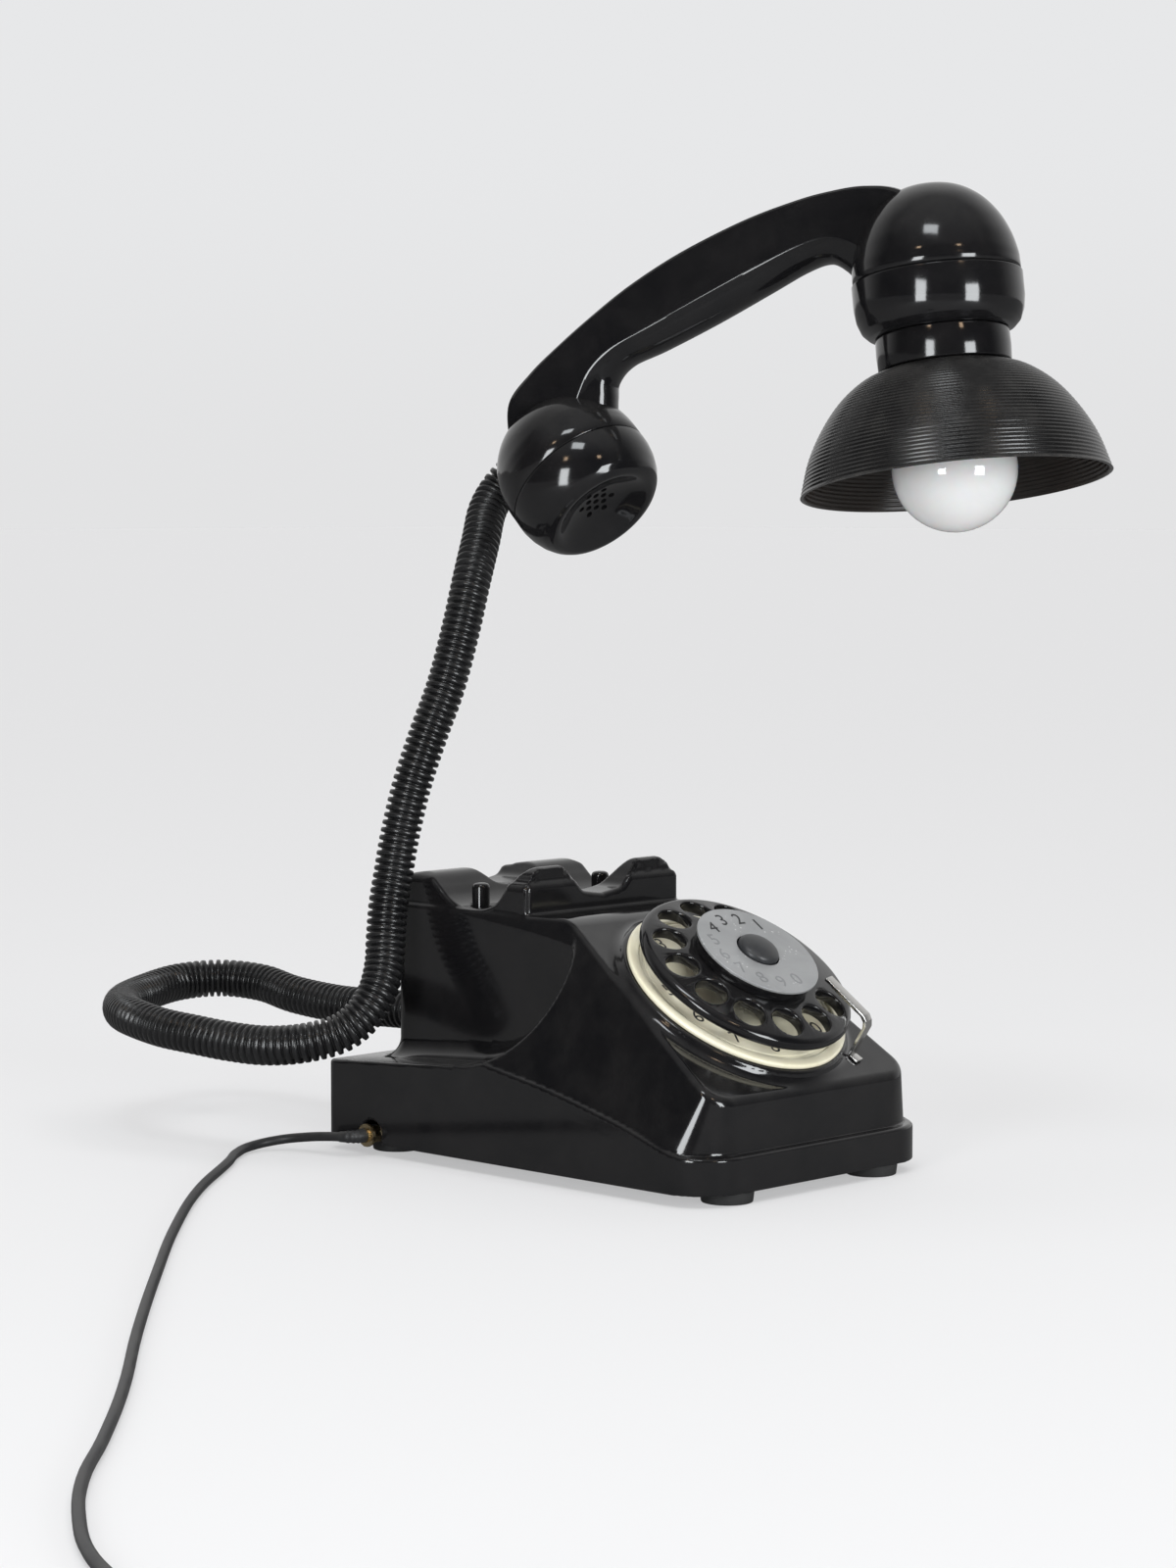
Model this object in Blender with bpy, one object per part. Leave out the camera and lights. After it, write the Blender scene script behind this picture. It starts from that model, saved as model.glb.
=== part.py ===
# Rotary desk telephone converted to a lamp. Units are metres and +Z is up.
# The base stands on its feet at z = 0, -Y is the dial side and +X is its right-hand side.
import math

import bmesh
import bpy
from mathutils import Matrix, Vector

# The model is laid out around the middle of the base, then moved by FRAME_SHIFT, so that the
# row's origin is below the middle of the whole object (its cord aside).
FRAME_SHIFT = Vector((0.0018, -0.0276, 0.0))

GAP = 0.0003            # clearance between pieces that touch

# Housing
HALF_WIDTH = 0.074
FRONT = -0.119
REAR = 0.113
SKIRT_BOTTOM = 0.005
WALL = 0.003
FRONT_CORNER = 0.0225
REAR_CORNER = 0.006
UPPER_FRONT = -0.115    # face above the skirt's step
SLOPE_FOOT_Z = 0.0436
SLOPE_TOP_Y = -0.0147
DECK_Z = 0.1112         # flat deck between the dial and the cradle
LEDGE_Z = 0.0460        # floor of the recessed sides, at LEDGE_Y
LEDGE_Y = 0.020
LEDGE_REAR_Z = 0.0400
TOWER_HALF = 0.050      # the part between the recesses
TOWER_REAR = 0.093
COVE = 0.008
WEDGE_FOOT = 0.012      # the wedge starts inside the skirt
CAVITY_FOOT = -0.003    # the hollow runs out through the open underside

# Dial, measured from the middle of the sloped face along its normal
SLOPE = math.radians(34.0)
DIAL_ALONG = 0.0585
DIAL_HOLE = 0.0380
PEDESTAL_RADIUS = 0.0526
PEDESTAL_TOP = 0.0040
RING_RADIUS = 0.0515
RING_TOP = 0.0068
PLATE_RADIUS = 0.0460
WHEEL_RADIUS = 0.0497
HOLE_CIRCLE = 0.0380
FINGER_HOLE = 0.0073
HOLE_COUNT = 10
HOLE_ONE = math.radians(62.0)
HOLE_PITCH = math.radians(27.5)
HUB_TOP = 0.0262
DISC_RADIUS = 0.0285
DISC_TOP = 0.0277
KNOB_RADIUS = 0.0094
KNOB_TRAVEL = 0.002

# Cradle
PLUNGER_X = 0.038
PLUNGER_Y = 0.049
PLUNGER_RADIUS = 0.0040
PLUNGER_TOP = 0.1220
PLUNGER_BOTTOM = 0.0815
LEVER_Y = 0.078
LEVER_Z = 0.0775

# Base
PLATE_TOP = 0.0070
FOOT_RADIUS = 0.0115
FEET = {
    "foot_front_left": (-0.0465, -0.1065),
    "foot_front_right": (0.0465, -0.1065),
    "foot_rear_left": (-0.0530, 0.0880),
    "foot_rear_right": (0.0530, 0.0880),
}
SCREWS = {
    "base_screw_front_left": (-0.0580, -0.0830),
    "base_screw_front_right": (0.0580, -0.0830),
    "base_screw_rear_left": (-0.0580, 0.1060),
    "base_screw_rear_right": (0.0580, 0.1060),
}

# Gooseneck
HOSE_RADIUS = 0.0088
HOSE_START = Vector((-0.012, 0.1090, 0.0560))
HOSE_LOOP = [
    (-0.014, 0.135, 0.0555), (-0.0175, 0.165, 0.0550), (-0.0195, 0.195, 0.0570), (-0.0195, 0.219, 0.0605),
    (-0.029, 0.238, 0.0620), (-0.048, 0.247, 0.0610), (-0.073, 0.241, 0.0590), (-0.098, 0.226, 0.0580),
    (-0.116, 0.205, 0.0575), (-0.1255, 0.184, 0.0570), (-0.1275, 0.163, 0.0550), (-0.1250, 0.1435, 0.0535),
    (-0.1205, 0.1254, 0.0518), (-0.1150, 0.1065, 0.0512), (-0.1067, 0.0905, 0.0530),
]
SWING_PIVOT = Vector((-0.0957, 0.0791, 0.0572))
HOSE_RISE = [
    (-0.0872, 0.0738, 0.0645), (-0.0798, 0.0720, 0.0745), (-0.0737, 0.0740, 0.0860), (-0.0702, 0.0766, 0.0980),
    (-0.0668, 0.0784, 0.1125), (-0.0625, 0.0795, 0.1270), (-0.0584, 0.0797, 0.1430), (-0.0522, 0.0785, 0.1650),
]
LEAN_PIVOT = Vector((-0.0441, 0.0765, 0.1868))
HOSE_REACH = [
    (-0.0344, 0.0749, 0.2090), (-0.0250, 0.0751, 0.2340), (-0.0165, 0.0768, 0.2560),
    (-0.0058, 0.0820, 0.2730), (0.0030, 0.0870, 0.2860), (0.0110, 0.0880, 0.2955),
]
NOD_PIVOT = Vector((0.0160, 0.0835, 0.3030))
SEGMENT_GAP = HOSE_RADIUS + GAP

# Handset. Its frame: X from the mouthpiece bowl to the ear bowl, Z towards the back of the
# handle, Y across it.
MOUTH_CENTRE = Vector((-0.0001, 0.0287, 0.3046))
HANDSET_X = Vector((0.3821, -0.8170, 0.4319)).normalized()
HANDSET_UP = Vector((-0.0897, 0.4323, 0.8972))
MOUTH_TILT = math.radians(-16.41)
MOUTH_ROLL = math.radians(-12.97)
EAR_PLACE = (0.1830, 0.0011, -0.0002)
EAR_TILT = math.radians(17.83)
EAR_ROLL = math.radians(-1.41)
BULB_RADIUS = 0.0270
BULB_CENTRE = -0.0800

# Cord
CORD_RADIUS = 0.0021
CORD_ROUTE = [
    (-0.0797, 0.0834, 0.0092), (-0.0838, 0.0885, 0.0088), (-0.0855, 0.0985, 0.0080), (-0.0872, 0.1115, 0.0064),
    (-0.0935, 0.1235, 0.0044), (-0.1060, 0.1270, 0.0028), (-0.1210, 0.1195, 0.0024), (-0.1380, 0.1050, 0.0024),
    (-0.1900, 0.0630, 0.0024), (-0.2474, 0.0086, 0.0024), (-0.3150, -0.0614, 0.0024), (-0.3845, -0.1356, 0.0024),
    (-0.4438, -0.2012, 0.0024), (-0.4892, -0.2479, 0.0024), (-0.5240, -0.2820, 0.0024), (-0.5520, -0.3160, 0.0024),
    (-0.5720, -0.3460, 0.0024), (-0.5840, -0.3720, 0.0024), (-0.5940, -0.3980, 0.0024), (-0.6030, -0.4200, 0.0024),
]
COIL_CENTRE = Vector((-0.5848, -0.4596, 0.0))
COIL_RADIUS = 0.02405   # middle of the bundle of turns
COIL_SECTION = 0.00745  # half the width of the bundle
OUTER_TURN = 0.0294     # middle of the turn that leads to the plug
PLUG_HEADING = math.radians(-45.7)


def clear_scene():
    for item in list(bpy.data.objects):
        bpy.data.objects.remove(item, do_unlink=True)


def material(name, colour, roughness, metallic=0.0):
    made = bpy.data.materials.new(name)
    made.use_nodes = True
    shader = made.node_tree.nodes["Principled BSDF"]
    shader.inputs["Base Color"].default_value = (*colour, 1.0)
    shader.inputs["Roughness"].default_value = roughness
    shader.inputs["Metallic"].default_value = metallic
    made.diffuse_color = (*colour, 1.0)
    return made


def link(name, mesh, finish, place=None, smooth=35.0):
    """Add a mesh to the scene as the piece called name."""
    piece = bpy.data.objects.new(name, mesh)
    bpy.context.collection.objects.link(piece)
    piece.matrix_world = place.copy() if place else Matrix()
    if finish:
        mesh.materials.append(finish)
        mesh.shade_smooth()
        mesh.set_sharp_from_angle(angle=math.radians(smooth))
        piece.parent = root
    return piece


def finish_mesh(name, shape):
    """Turn a bmesh into a mesh whose faces point out."""
    bmesh.ops.recalc_face_normals(shape, faces=shape.faces)
    mesh = bpy.data.meshes.new(name)
    shape.to_mesh(mesh)
    shape.free()
    return mesh


def rings_mesh(name, rings, closed_loop=False):
    """Skin a list of rings, each a list of points; the ends are capped unless the rings form a loop."""
    shape = bmesh.new()
    rows = []
    for ring in rings:
        rows.append([shape.verts.new(point) for point in ring])
    pairs = list(zip(rows, rows[1:]))
    if closed_loop:
        pairs.append((rows[-1], rows[0]))
    for lower, upper in pairs:
        count = len(lower)
        for i in range(count):
            j = (i + 1) % count
            shape.faces.new((lower[i], lower[j], upper[j], upper[i]))
    if not closed_loop:
        shape.faces.new(list(reversed(rows[0])))
        shape.faces.new(rows[-1])
    return finish_mesh(name, shape)


def turned_mesh(name, outline, segments=32):
    """Spin an outline of (radius, height) pairs about Z. A solid's outline starts and ends on the
    axis; a ring's outline never touches it and closes on itself."""
    shape = bmesh.new()
    columns = []
    for radius, height in outline:
        if radius == 0.0:
            columns.append([shape.verts.new((0.0, 0.0, height))])
            continue
        column = []
        for i in range(segments):
            angle = 2.0 * math.pi * i / segments
            column.append(shape.verts.new((radius * math.cos(angle), radius * math.sin(angle), height)))
        columns.append(column)
    pairs = list(zip(columns, columns[1:]))
    if len(columns[0]) > 1:
        pairs.append((columns[-1], columns[0]))
    for first, second in pairs:
        for i in range(segments):
            j = (i + 1) % segments
            corners = [first[i % len(first)], first[j % len(first)], second[j % len(second)], second[i % len(second)]]
            unique = []
            for corner in corners:
                if corner not in unique:
                    unique.append(corner)
            if len(unique) > 2:
                shape.faces.new(unique)
    return finish_mesh(name, shape)


def prism_mesh(name, outline, along, low, high):
    """Extrude a closed outline along X, Y or Z. The outline's pairs are the other two axes in order."""
    def place(pair, depth):
        values = list(pair)
        values.insert("XYZ".index(along), depth)
        return values
    rings = [[place(pair, low) for pair in outline], [place(pair, high) for pair in outline]]
    return rings_mesh(name, rings)


def hull_mesh(name, points):
    shape = bmesh.new()
    for point in points:
        shape.verts.new(point)
    bmesh.ops.convex_hull(shape, input=shape.verts)
    loose = [vert for vert in shape.verts if not vert.link_faces]
    bmesh.ops.delete(shape, geom=loose, context="VERTS")
    bmesh.ops.dissolve_limit(shape, angle_limit=math.radians(0.5), verts=shape.verts, edges=shape.edges)
    return finish_mesh(name, shape)


def box_mesh(name, low, high):
    outline = [(low[0], low[1]), (high[0], low[1]), (high[0], high[1]), (low[0], high[1])]
    return prism_mesh(name, outline, "Z", low[2], high[2])


def box(name, low, high, finish):
    return link(name, box_mesh(name, low, high), finish)


def turned(name, outline, finish, place=None, segments=32):
    return link(name, turned_mesh(name, outline, segments), finish, place)


def rounded_rectangle(half_x, front, rear, front_radius, rear_radius, steps=7):
    """Outline in X and Y, anticlockwise, with its own radius for front and rear corners."""
    corners = [
        (half_x, front, front_radius, -90.0), (half_x, rear, rear_radius, 0.0),
        (-half_x, rear, rear_radius, 90.0), (-half_x, front, front_radius, 180.0),
    ]
    outline = []
    for x, y, radius, start in corners:
        centre_x = x - math.copysign(radius, x)
        centre_y = y + radius if y == front else y - radius
        for i in range(steps + 1):
            angle = math.radians(start + 90.0 * i / steps)
            outline.append((centre_x + radius * math.cos(angle), centre_y + radius * math.sin(angle)))
    return outline


def cutter(name, mesh, place=None):
    """A solid that only cuts or joins others."""
    tool = link(name, mesh, None, place)
    tool.hide_render = True
    tool.display_type = "WIRE"
    tool.parent = root
    return tool


def combine(piece, operation, other):
    step = piece.modifiers.new(operation.lower() + "_" + other.name, "BOOLEAN")
    step.operation = operation
    step.solver = "EXACT"
    step.object = other


def drill(piece, name, radius, low, high, place, segments=16):
    """Cut a round hole along the local Z of place."""
    outline = [(0.0, low), (radius, low), (radius, high), (0.0, high)]
    combine(piece, "DIFFERENCE", cutter(name, turned_mesh(name, outline, segments), place))


def smooth_route(points, spacing):
    """Read points at an even spacing from a Catmull-Rom curve through the given points."""
    route = [Vector(point) for point in points]
    route = [2.0 * route[0] - route[1]] + route + [2.0 * route[-1] - route[-2]]
    dense = []
    for i in range(1, len(route) - 2):
        before, start, end, after = route[i - 1:i + 3]
        for step in range(24):
            t = step / 24.0
            dense.append(0.5 * (2.0 * start + (end - before) * t
                                + (2.0 * before - 5.0 * start + 4.0 * end - after) * t * t
                                + (3.0 * start - before - 3.0 * end + after) * t * t * t))
    dense.append(route[-2].copy())
    lengths = [0.0]
    for first, second in zip(dense, dense[1:]):
        lengths.append(lengths[-1] + (second - first).length)
    count = max(2, round(lengths[-1] / spacing))
    even = []
    place = 0
    for i in range(count + 1):
        target = lengths[-1] * i / count
        while place < len(dense) - 2 and lengths[place + 1] < target:
            place += 1
        share = (target - lengths[place]) / (lengths[place + 1] - lengths[place])
        even.append(dense[place].lerp(dense[place + 1], min(share, 1.0)))
    return even


def smooth_outline(pairs):
    """A flat outline through the given pairs, in steps of about two millimetres."""
    return [(point.x, point.y) for point in smooth_route([(*pair, 0.0) for pair in pairs], 0.002)]


def along(start, direction):
    """A frame whose origin is start and whose Z points along direction."""
    turn = Vector(direction).to_track_quat("Z", "Y").to_matrix().to_4x4()
    return Matrix.Translation(start) @ turn


def tube_mesh(name, points, radii, sides=12):
    """A round tube through points, with its own radius at each."""
    rings = []
    across = None
    for i, point in enumerate(points):
        forward = (points[min(i + 1, len(points) - 1)] - points[max(i - 1, 0)]).normalized()
        if across is None:
            across = forward.orthogonal().normalized()
        across = (across - forward * across.dot(forward)).normalized()
        other = forward.cross(across)
        ring = []
        for k in range(sides):
            angle = 2.0 * math.pi * k / sides
            ring.append(point + radii[i] * (math.cos(angle) * across + math.sin(angle) * other))
        rings.append(ring)
    return rings_mesh(name, rings)


def hose_segment(name, points, start_trim, ball_end):
    """One stiff length of hose. It starts start_trim short of its first point, and its ball end is
    a half sphere about its last point, which is the next length's pivot."""
    route = smooth_route(points, 0.0115)
    if start_trim:
        first = route[0]
        while (route[1] - first).length < start_trim:
            route.pop(1)
        heading = (route[1] - first).normalized()
        route[0] = first + heading * start_trim
        if (route[1] - route[0]).length < 0.003:
            route.pop(1)
    radii = [HOSE_RADIUS] * len(route)
    if ball_end:
        pivot = route[-1]
        heading = (pivot - route[-2]).normalized()
        for degrees in (35.0, 68.0):
            angle = math.radians(degrees)
            route.append(pivot + heading * HOSE_RADIUS * math.sin(angle))
            radii.append(HOSE_RADIUS * math.cos(angle))
    return link(name, tube_mesh(name, route, radii), HOSE)


# ---------------------------------------------------------------- housing

def ledge_height(y):
    """Height of the skirt's top edge: the recess floor behind LEDGE_Y, falling to the front step."""
    return LEDGE_Z + (LEDGE_REAR_Z - LEDGE_Z) * (y - LEDGE_Y) / (REAR - LEDGE_Y)


def skirt_solid(name, inset):
    """The skirt, taller than the recess floor at the back, since the recess cut levels it there."""
    plan = rounded_rectangle(HALF_WIDTH - inset, FRONT + inset, REAR - inset,
                             FRONT_CORNER - inset, REAR_CORNER - inset)
    bottom = SKIRT_BOTTOM if inset == 0.0 else -0.002
    skirt = cutter(name, prism_mesh(name, plan, "Z", bottom, 0.060))
    side = [
        (-0.130, bottom - 0.01), (0.130, bottom - 0.01), (0.130, 0.055 - inset), (0.012, 0.055 - inset),
        (0.000, 0.0467 - inset), (-0.031, 0.0410 - inset), (-0.071, 0.0312 - inset), (-0.099, 0.0225 - inset),
        (-0.130, 0.0208 - inset),
    ]
    combine(skirt, "INTERSECT", cutter(name + "_side", prism_mesh(name + "_side", side, "X", -0.1, 0.1)))
    return skirt


def wedge_points(inset):
    """Corners of the body above the skirt, before the recesses are cut."""
    lean = inset / math.cos(SLOPE)
    side = HALF_WIDTH - 0.0003
    half = [
        (0.0530 - inset, UPPER_FRONT + inset, SLOPE_FOOT_Z - lean + inset * math.tan(SLOPE)),
        (side - inset, 0.0000, 0.0467 - inset),
        (side - inset, TOWER_REAR - inset, 0.0467 - inset),
        (side - inset, TOWER_REAR - inset, WEDGE_FOOT),
        (0.0475 - inset, SLOPE_TOP_Y + 0.4 * inset, DECK_Z - inset),
        (0.0520 - inset, TOWER_REAR - inset, DECK_Z - inset),
    ]
    for i in range(6):    # the rounded front corner
        angle = math.radians(-90.0 + 18.0 * i)
        x = side - FRONT_CORNER + (FRONT_CORNER - inset) * math.cos(angle)
        y = UPPER_FRONT + FRONT_CORNER + (FRONT_CORNER - inset) * math.sin(angle)
        half += [(x, y, WEDGE_FOOT), (x, y, 0.0240 - inset)]
    if inset:
        half = [(x, y, CAVITY_FOOT if z == WEDGE_FOOT else z) for x, y, z in half]
    return half + [(-x, y, z) for x, y, z in half]


def surround_solid(name, grow):
    """Everything beside and behind the tower and above the ledge: the recesses' cutter."""
    arc = []
    for i in range(17):
        angle = math.radians(90.0 - 90.0 * i / 16)
        arc.append((0.030 - (0.052 + grow) * math.cos(angle),
                    0.0980 - (0.0980 - ledge_height(0.030) + grow) * math.sin(angle)))
    side = [(0.140, ledge_height(0.140) - grow)] + arc + [(-0.022 - grow, 0.150), (0.140, 0.150)]
    surround = cutter(name, prism_mesh(name, side, "X", -0.1, 0.1))
    levels = [(0.020, COVE), (0.0450, COVE), (0.0462, 0.0055), (0.0485, 0.0029), (0.0515, 0.0010),
              (0.0560, 0.0), (0.200, 0.0)]
    rings = []
    for z, out in levels:
        plan = rounded_rectangle(TOWER_HALF - grow + out, -0.060, TOWER_REAR - grow + out, 0.004,
                                 0.007 + out - grow)
        rings.append([(x, y, z - grow) for x, y in plan])
    combine(surround, "DIFFERENCE", cutter(name + "_tower", rings_mesh(name + "_tower", rings)))
    return surround


def cradle_solid():
    """Four horns: a wave along Y, with a dip along the middle and shoulders at the sides."""
    crest = smooth_outline([
        (0.0095, 0.1250), (0.0113, 0.1296), (0.0145, 0.1312), (0.0182, 0.1294), (0.0222, 0.1240),
        (0.0262, 0.1184), (0.0305, 0.1145), (0.0370, 0.1122), (0.0460, 0.1114), (0.0530, 0.1122),
        (0.0600, 0.1152), (0.0660, 0.1202), (0.0715, 0.1245), (0.0770, 0.1256), (0.0840, 0.1248),
        (0.0890, 0.1222), (0.0915, 0.1170),
    ])
    wave = [(0.0095, 0.1000)] + crest + [(0.0920, 0.1000)]
    cradle = cutter("cradle", prism_mesh("cradle", wave, "X", -0.0487, 0.0487))
    shoulder = smooth_outline([
        (0.0075, 0.1186), (0.0125, 0.1198), (0.0160, 0.1230), (0.0208, 0.1284), (0.0255, 0.1325), (0.0310, 0.1340),
        (0.0370, 0.1322), (0.0430, 0.1282), (0.0465, 0.1225),
    ])
    half = shoulder + [(0.0487, 0.1120), (0.0600, 0.1120), (0.0600, 0.1500)]
    outline = [(-x, z) for x, z in reversed(half)] + [(0.0, 0.1180)] + half
    dip = cutter("cradle_dip", prism_mesh("cradle_dip", outline, "Y", 0.0, 0.11))
    combine(cradle, "DIFFERENCE", dip)
    return cradle


def arch(radius, centre_y, centre_z, bottom):
    """Outline in Y and Z of a doorway with a round head."""
    outline = [(centre_y - radius, bottom), (centre_y + radius, bottom)]
    for i in range(9):
        angle = math.pi * i / 8
        outline.append((centre_y + radius * math.cos(angle), centre_z + radius * math.sin(angle)))
    return outline


def make_housing():
    housing = skirt_solid("housing", 0.0)
    housing.hide_render = False
    housing.display_type = "TEXTURED"
    housing.data.materials.append(BAKELITE)
    combine(housing, "UNION", cutter("wedge", hull_mesh("wedge", wedge_points(0.0))))
    combine(housing, "DIFFERENCE", surround_solid("surround", 0.0))
    combine(housing, "UNION", cradle_solid())
    pedestal = [(0.0, -0.004), (PEDESTAL_RADIUS, -0.004), (PEDESTAL_RADIUS, PEDESTAL_TOP - 0.001),
                (PEDESTAL_RADIUS - 0.001, PEDESTAL_TOP), (0.0, PEDESTAL_TOP)]
    combine(housing, "UNION", cutter("pedestal", turned_mesh("pedestal", pedestal, 40), DIAL))
    hose_boss = [(0.0, -0.010), (0.0132, -0.010), (0.0132, 0.0078), (0.0125, 0.0085), (0.0, 0.0085)]
    rear = along((HOSE_START.x, TOWER_REAR, HOSE_START.z), (0, 1, 0))
    combine(housing, "UNION", cutter("hose_boss", turned_mesh("hose_boss", hose_boss, 20), rear))

    cavity = skirt_solid("cavity", WALL)
    combine(cavity, "UNION", cutter("cavity_wedge", hull_mesh("cavity_wedge", wedge_points(WALL))))
    combine(cavity, "DIFFERENCE", surround_solid("cavity_surround", WALL))
    for name, (x, y) in SCREWS.items():
        place = Matrix.Translation((x, y, 0.0))
        drill(cavity, name + "_boss", 0.0045, PLATE_TOP + GAP, 0.080, place, 12)
    combine(housing, "DIFFERENCE", cavity)
    for name, (x, y) in SCREWS.items():
        drill(housing, name + "_pilot", 0.0019, -0.01, 0.0165, Matrix.Translation((x, y, 0.0)), 8)

    drill(housing, "dial_hole", DIAL_HOLE, -0.02, 0.02, DIAL, 32)
    for side in (-1, 1):
        place = Matrix.Translation((side * PLUNGER_X, PLUNGER_Y, 0.0))
        drill(housing, "plunger_hole_%d" % (side + 1), PLUNGER_RADIUS + 0.0006, 0.09, 0.14, place)
    drill(housing, "hose_hole", HOSE_RADIUS + 0.0005, -0.02, 0.03, rear)
    notch = prism_mesh("cord_notch", arch(0.0060, 0.0825, 0.0098, 0.0), "X", -0.084, -0.064)
    combine(housing, "DIFFERENCE", cutter("cord_notch", notch))


# ---------------------------------------------------------------- base

def make_base():
    inset = WALL + 0.0004
    plan = rounded_rectangle(HALF_WIDTH - inset, FRONT + inset, REAR - inset,
                             FRONT_CORNER - inset, REAR_CORNER - inset)
    plate = link("base_plate", prism_mesh("base_plate", plan, "Z", SKIRT_BOTTOM + 0.0002, PLATE_TOP), STEEL)
    slot = box_mesh("cord_slot", (-0.084, 0.0755, 0.0), (-0.0600, 0.0895, 0.02))
    combine(plate, "DIFFERENCE", cutter("cord_slot", slot))
    for name, (x, y) in SCREWS.items():
        place = Matrix.Translation((x, y, 0.0))
        drill(plate, name + "_clearance", 0.0019, 0.0, 0.02, place, 12)
        screw = [(0.0, 0.0030), (0.0030, 0.0030), (0.0034, 0.0036), (0.0034, 0.0049), (0.0015, 0.0049),
                 (0.0015, 0.0155), (0.0, 0.0155)]
        turned(name, screw, STEEL, place, 10)
    for name, (x, y) in FEET.items():
        foot = [(0.0, 0.0), (FOOT_RADIUS - 0.0006, 0.0), (FOOT_RADIUS, 0.0049), (0.0, 0.0049)]
        turned(name, foot, RUBBER, Matrix.Translation((x, y, 0.0)), 20)
    floor = PLATE_TOP + GAP
    box("ballast_weight", (-0.0450, -0.0750, floor), (0.0450, 0.0700, floor + 0.0140), IRON)
    box("terminal_block", (-0.0380, 0.0745, floor), (0.0080, 0.0880, floor + 0.0150), CREAM)
    box("cord_clamp", (-0.0590, 0.0763, floor), (-0.0520, 0.0901, floor + 0.0060), STEEL)
    gland = [(0.0, 0.0), (0.0032, 0.0), (0.0032, 0.0010), (0.0052, 0.0010), (0.0052, 0.0024), (0.0038, 0.0030),
             (0.0038, 0.0135), (0.0, 0.0135)]
    turned("cord_gland", gland, BRASS, along((-0.0778, 0.0832, 0.0092), (1, 0, 0)), 14)


# ---------------------------------------------------------------- dial

def make_dial():
    top = PEDESTAL_TOP + GAP
    ring = [(PLATE_RADIUS + GAP, top), (RING_RADIUS, top), (RING_RADIUS, RING_TOP), (PLATE_RADIUS + GAP, RING_TOP)]
    turned("dial_ring", ring, CREAM, DIAL, 40)
    plate = [(0.0060, top), (PLATE_RADIUS, top), (PLATE_RADIUS, top + 0.0013), (0.0060, top + 0.0013)]
    turned("number_plate", plate, CREAM, DIAL, 40)
    case = [(0.0, -0.0300), (0.0330, -0.0300), (0.0360, -0.0275), (0.0360, PEDESTAL_TOP), (0.0045, PEDESTAL_TOP),
            (0.0045, -0.0180), (0.0, -0.0180)]
    turned("dial_mechanism", case, STEEL, DIAL, 24)
    shaft = [(0.0, -0.0170), (0.0040, -0.0170), (0.0040, 0.0120), (0.0075, 0.0130), (0.0075, 0.0155), (0.0, 0.0155)]
    turned("dial_shaft", shaft, STEEL, DIAL, 12)

    wheel_outline = [
        (0.0, 0.0160), (0.0290, 0.0160), (0.0470, 0.0126), (0.0492, 0.0128), (WHEEL_RADIUS, 0.0145), (0.0493, 0.0163),
        (0.0475, 0.0178), (0.0290, 0.0214), (0.0, 0.0214),
    ]
    wheel = turned("finger_wheel", wheel_outline, BAKELITE, DIAL, 40)
    for k in range(HOLE_COUNT):
        angle = HOLE_ONE + k * HOLE_PITCH
        offset = Matrix.Translation((HOLE_CIRCLE * math.cos(angle), HOLE_CIRCLE * math.sin(angle), 0.0))
        drill(wheel, "finger_hole_%d" % k, FINGER_HOLE, 0.005, 0.03, DIAL @ offset, 14)

    hub = [(0.0, 0.0217), (0.0272, 0.0217), (0.0272, HUB_TOP), (KNOB_RADIUS + 0.0006, HUB_TOP),
           (KNOB_RADIUS + 0.0006, 0.0228), (0.0, 0.0228)]
    turned("wheel_hub", hub, BAKELITE, DIAL, 32)
    disc = [(KNOB_RADIUS + 0.0006, HUB_TOP + GAP), (DISC_RADIUS, HUB_TOP + GAP), (DISC_RADIUS, DISC_TOP),
            (KNOB_RADIUS + 0.0006, DISC_TOP)]
    turned("number_disc", disc, GREY, DIAL, 36)
    foot = 0.0228 + KNOB_TRAVEL + 0.0004
    knob = [(0.0, foot), (KNOB_RADIUS, foot), (KNOB_RADIUS, 0.0288), (0.0080, 0.0303), (0.0050, 0.0312), (0.0, 0.0317)]
    turned("centre_knob", knob, DARK_GREY, DIAL, 20)
    make_finger_stop()


def make_finger_stop():
    """A bent strip: its foot stands on the slope beyond the wheel, and its tongue reaches over the rim."""
    tip = Vector((0.0362 * math.cos(math.radians(-30.0)), 0.0362 * math.sin(math.radians(-30.0)), 0.0))
    bend = Vector((0.0556 * math.cos(math.radians(-49.0)), 0.0556 * math.sin(math.radians(-49.0)), 0.0))
    reach = (bend - tip).normalized()
    side = reach.cross(Vector((0.0, 0.0, 1.0))) * 0.0026
    outline = [
        (tip, 0.0226), (bend - reach * 0.0022, 0.0196), (bend, 0.0182), (bend + reach * 0.0010, 0.0160),
        (bend + reach * 0.0010, GAP), (bend + reach * 0.0065, GAP), (bend + reach * 0.0065, 0.0016),
        (bend + reach * 0.0026, 0.0016), (bend + reach * 0.0026, 0.0170), (bend + reach * 0.0012, 0.0196),
        (bend - reach * 0.0010, 0.0212), (tip, 0.0242),
    ]
    rings = []
    for sign in (-1, 1):
        rings.append([point + Vector((0.0, 0.0, height)) + side * sign for point, height in outline])
    link("finger_stop", rings_mesh("finger_stop", rings), CHROME, DIAL)


# ---------------------------------------------------------------- cradle switch

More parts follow.
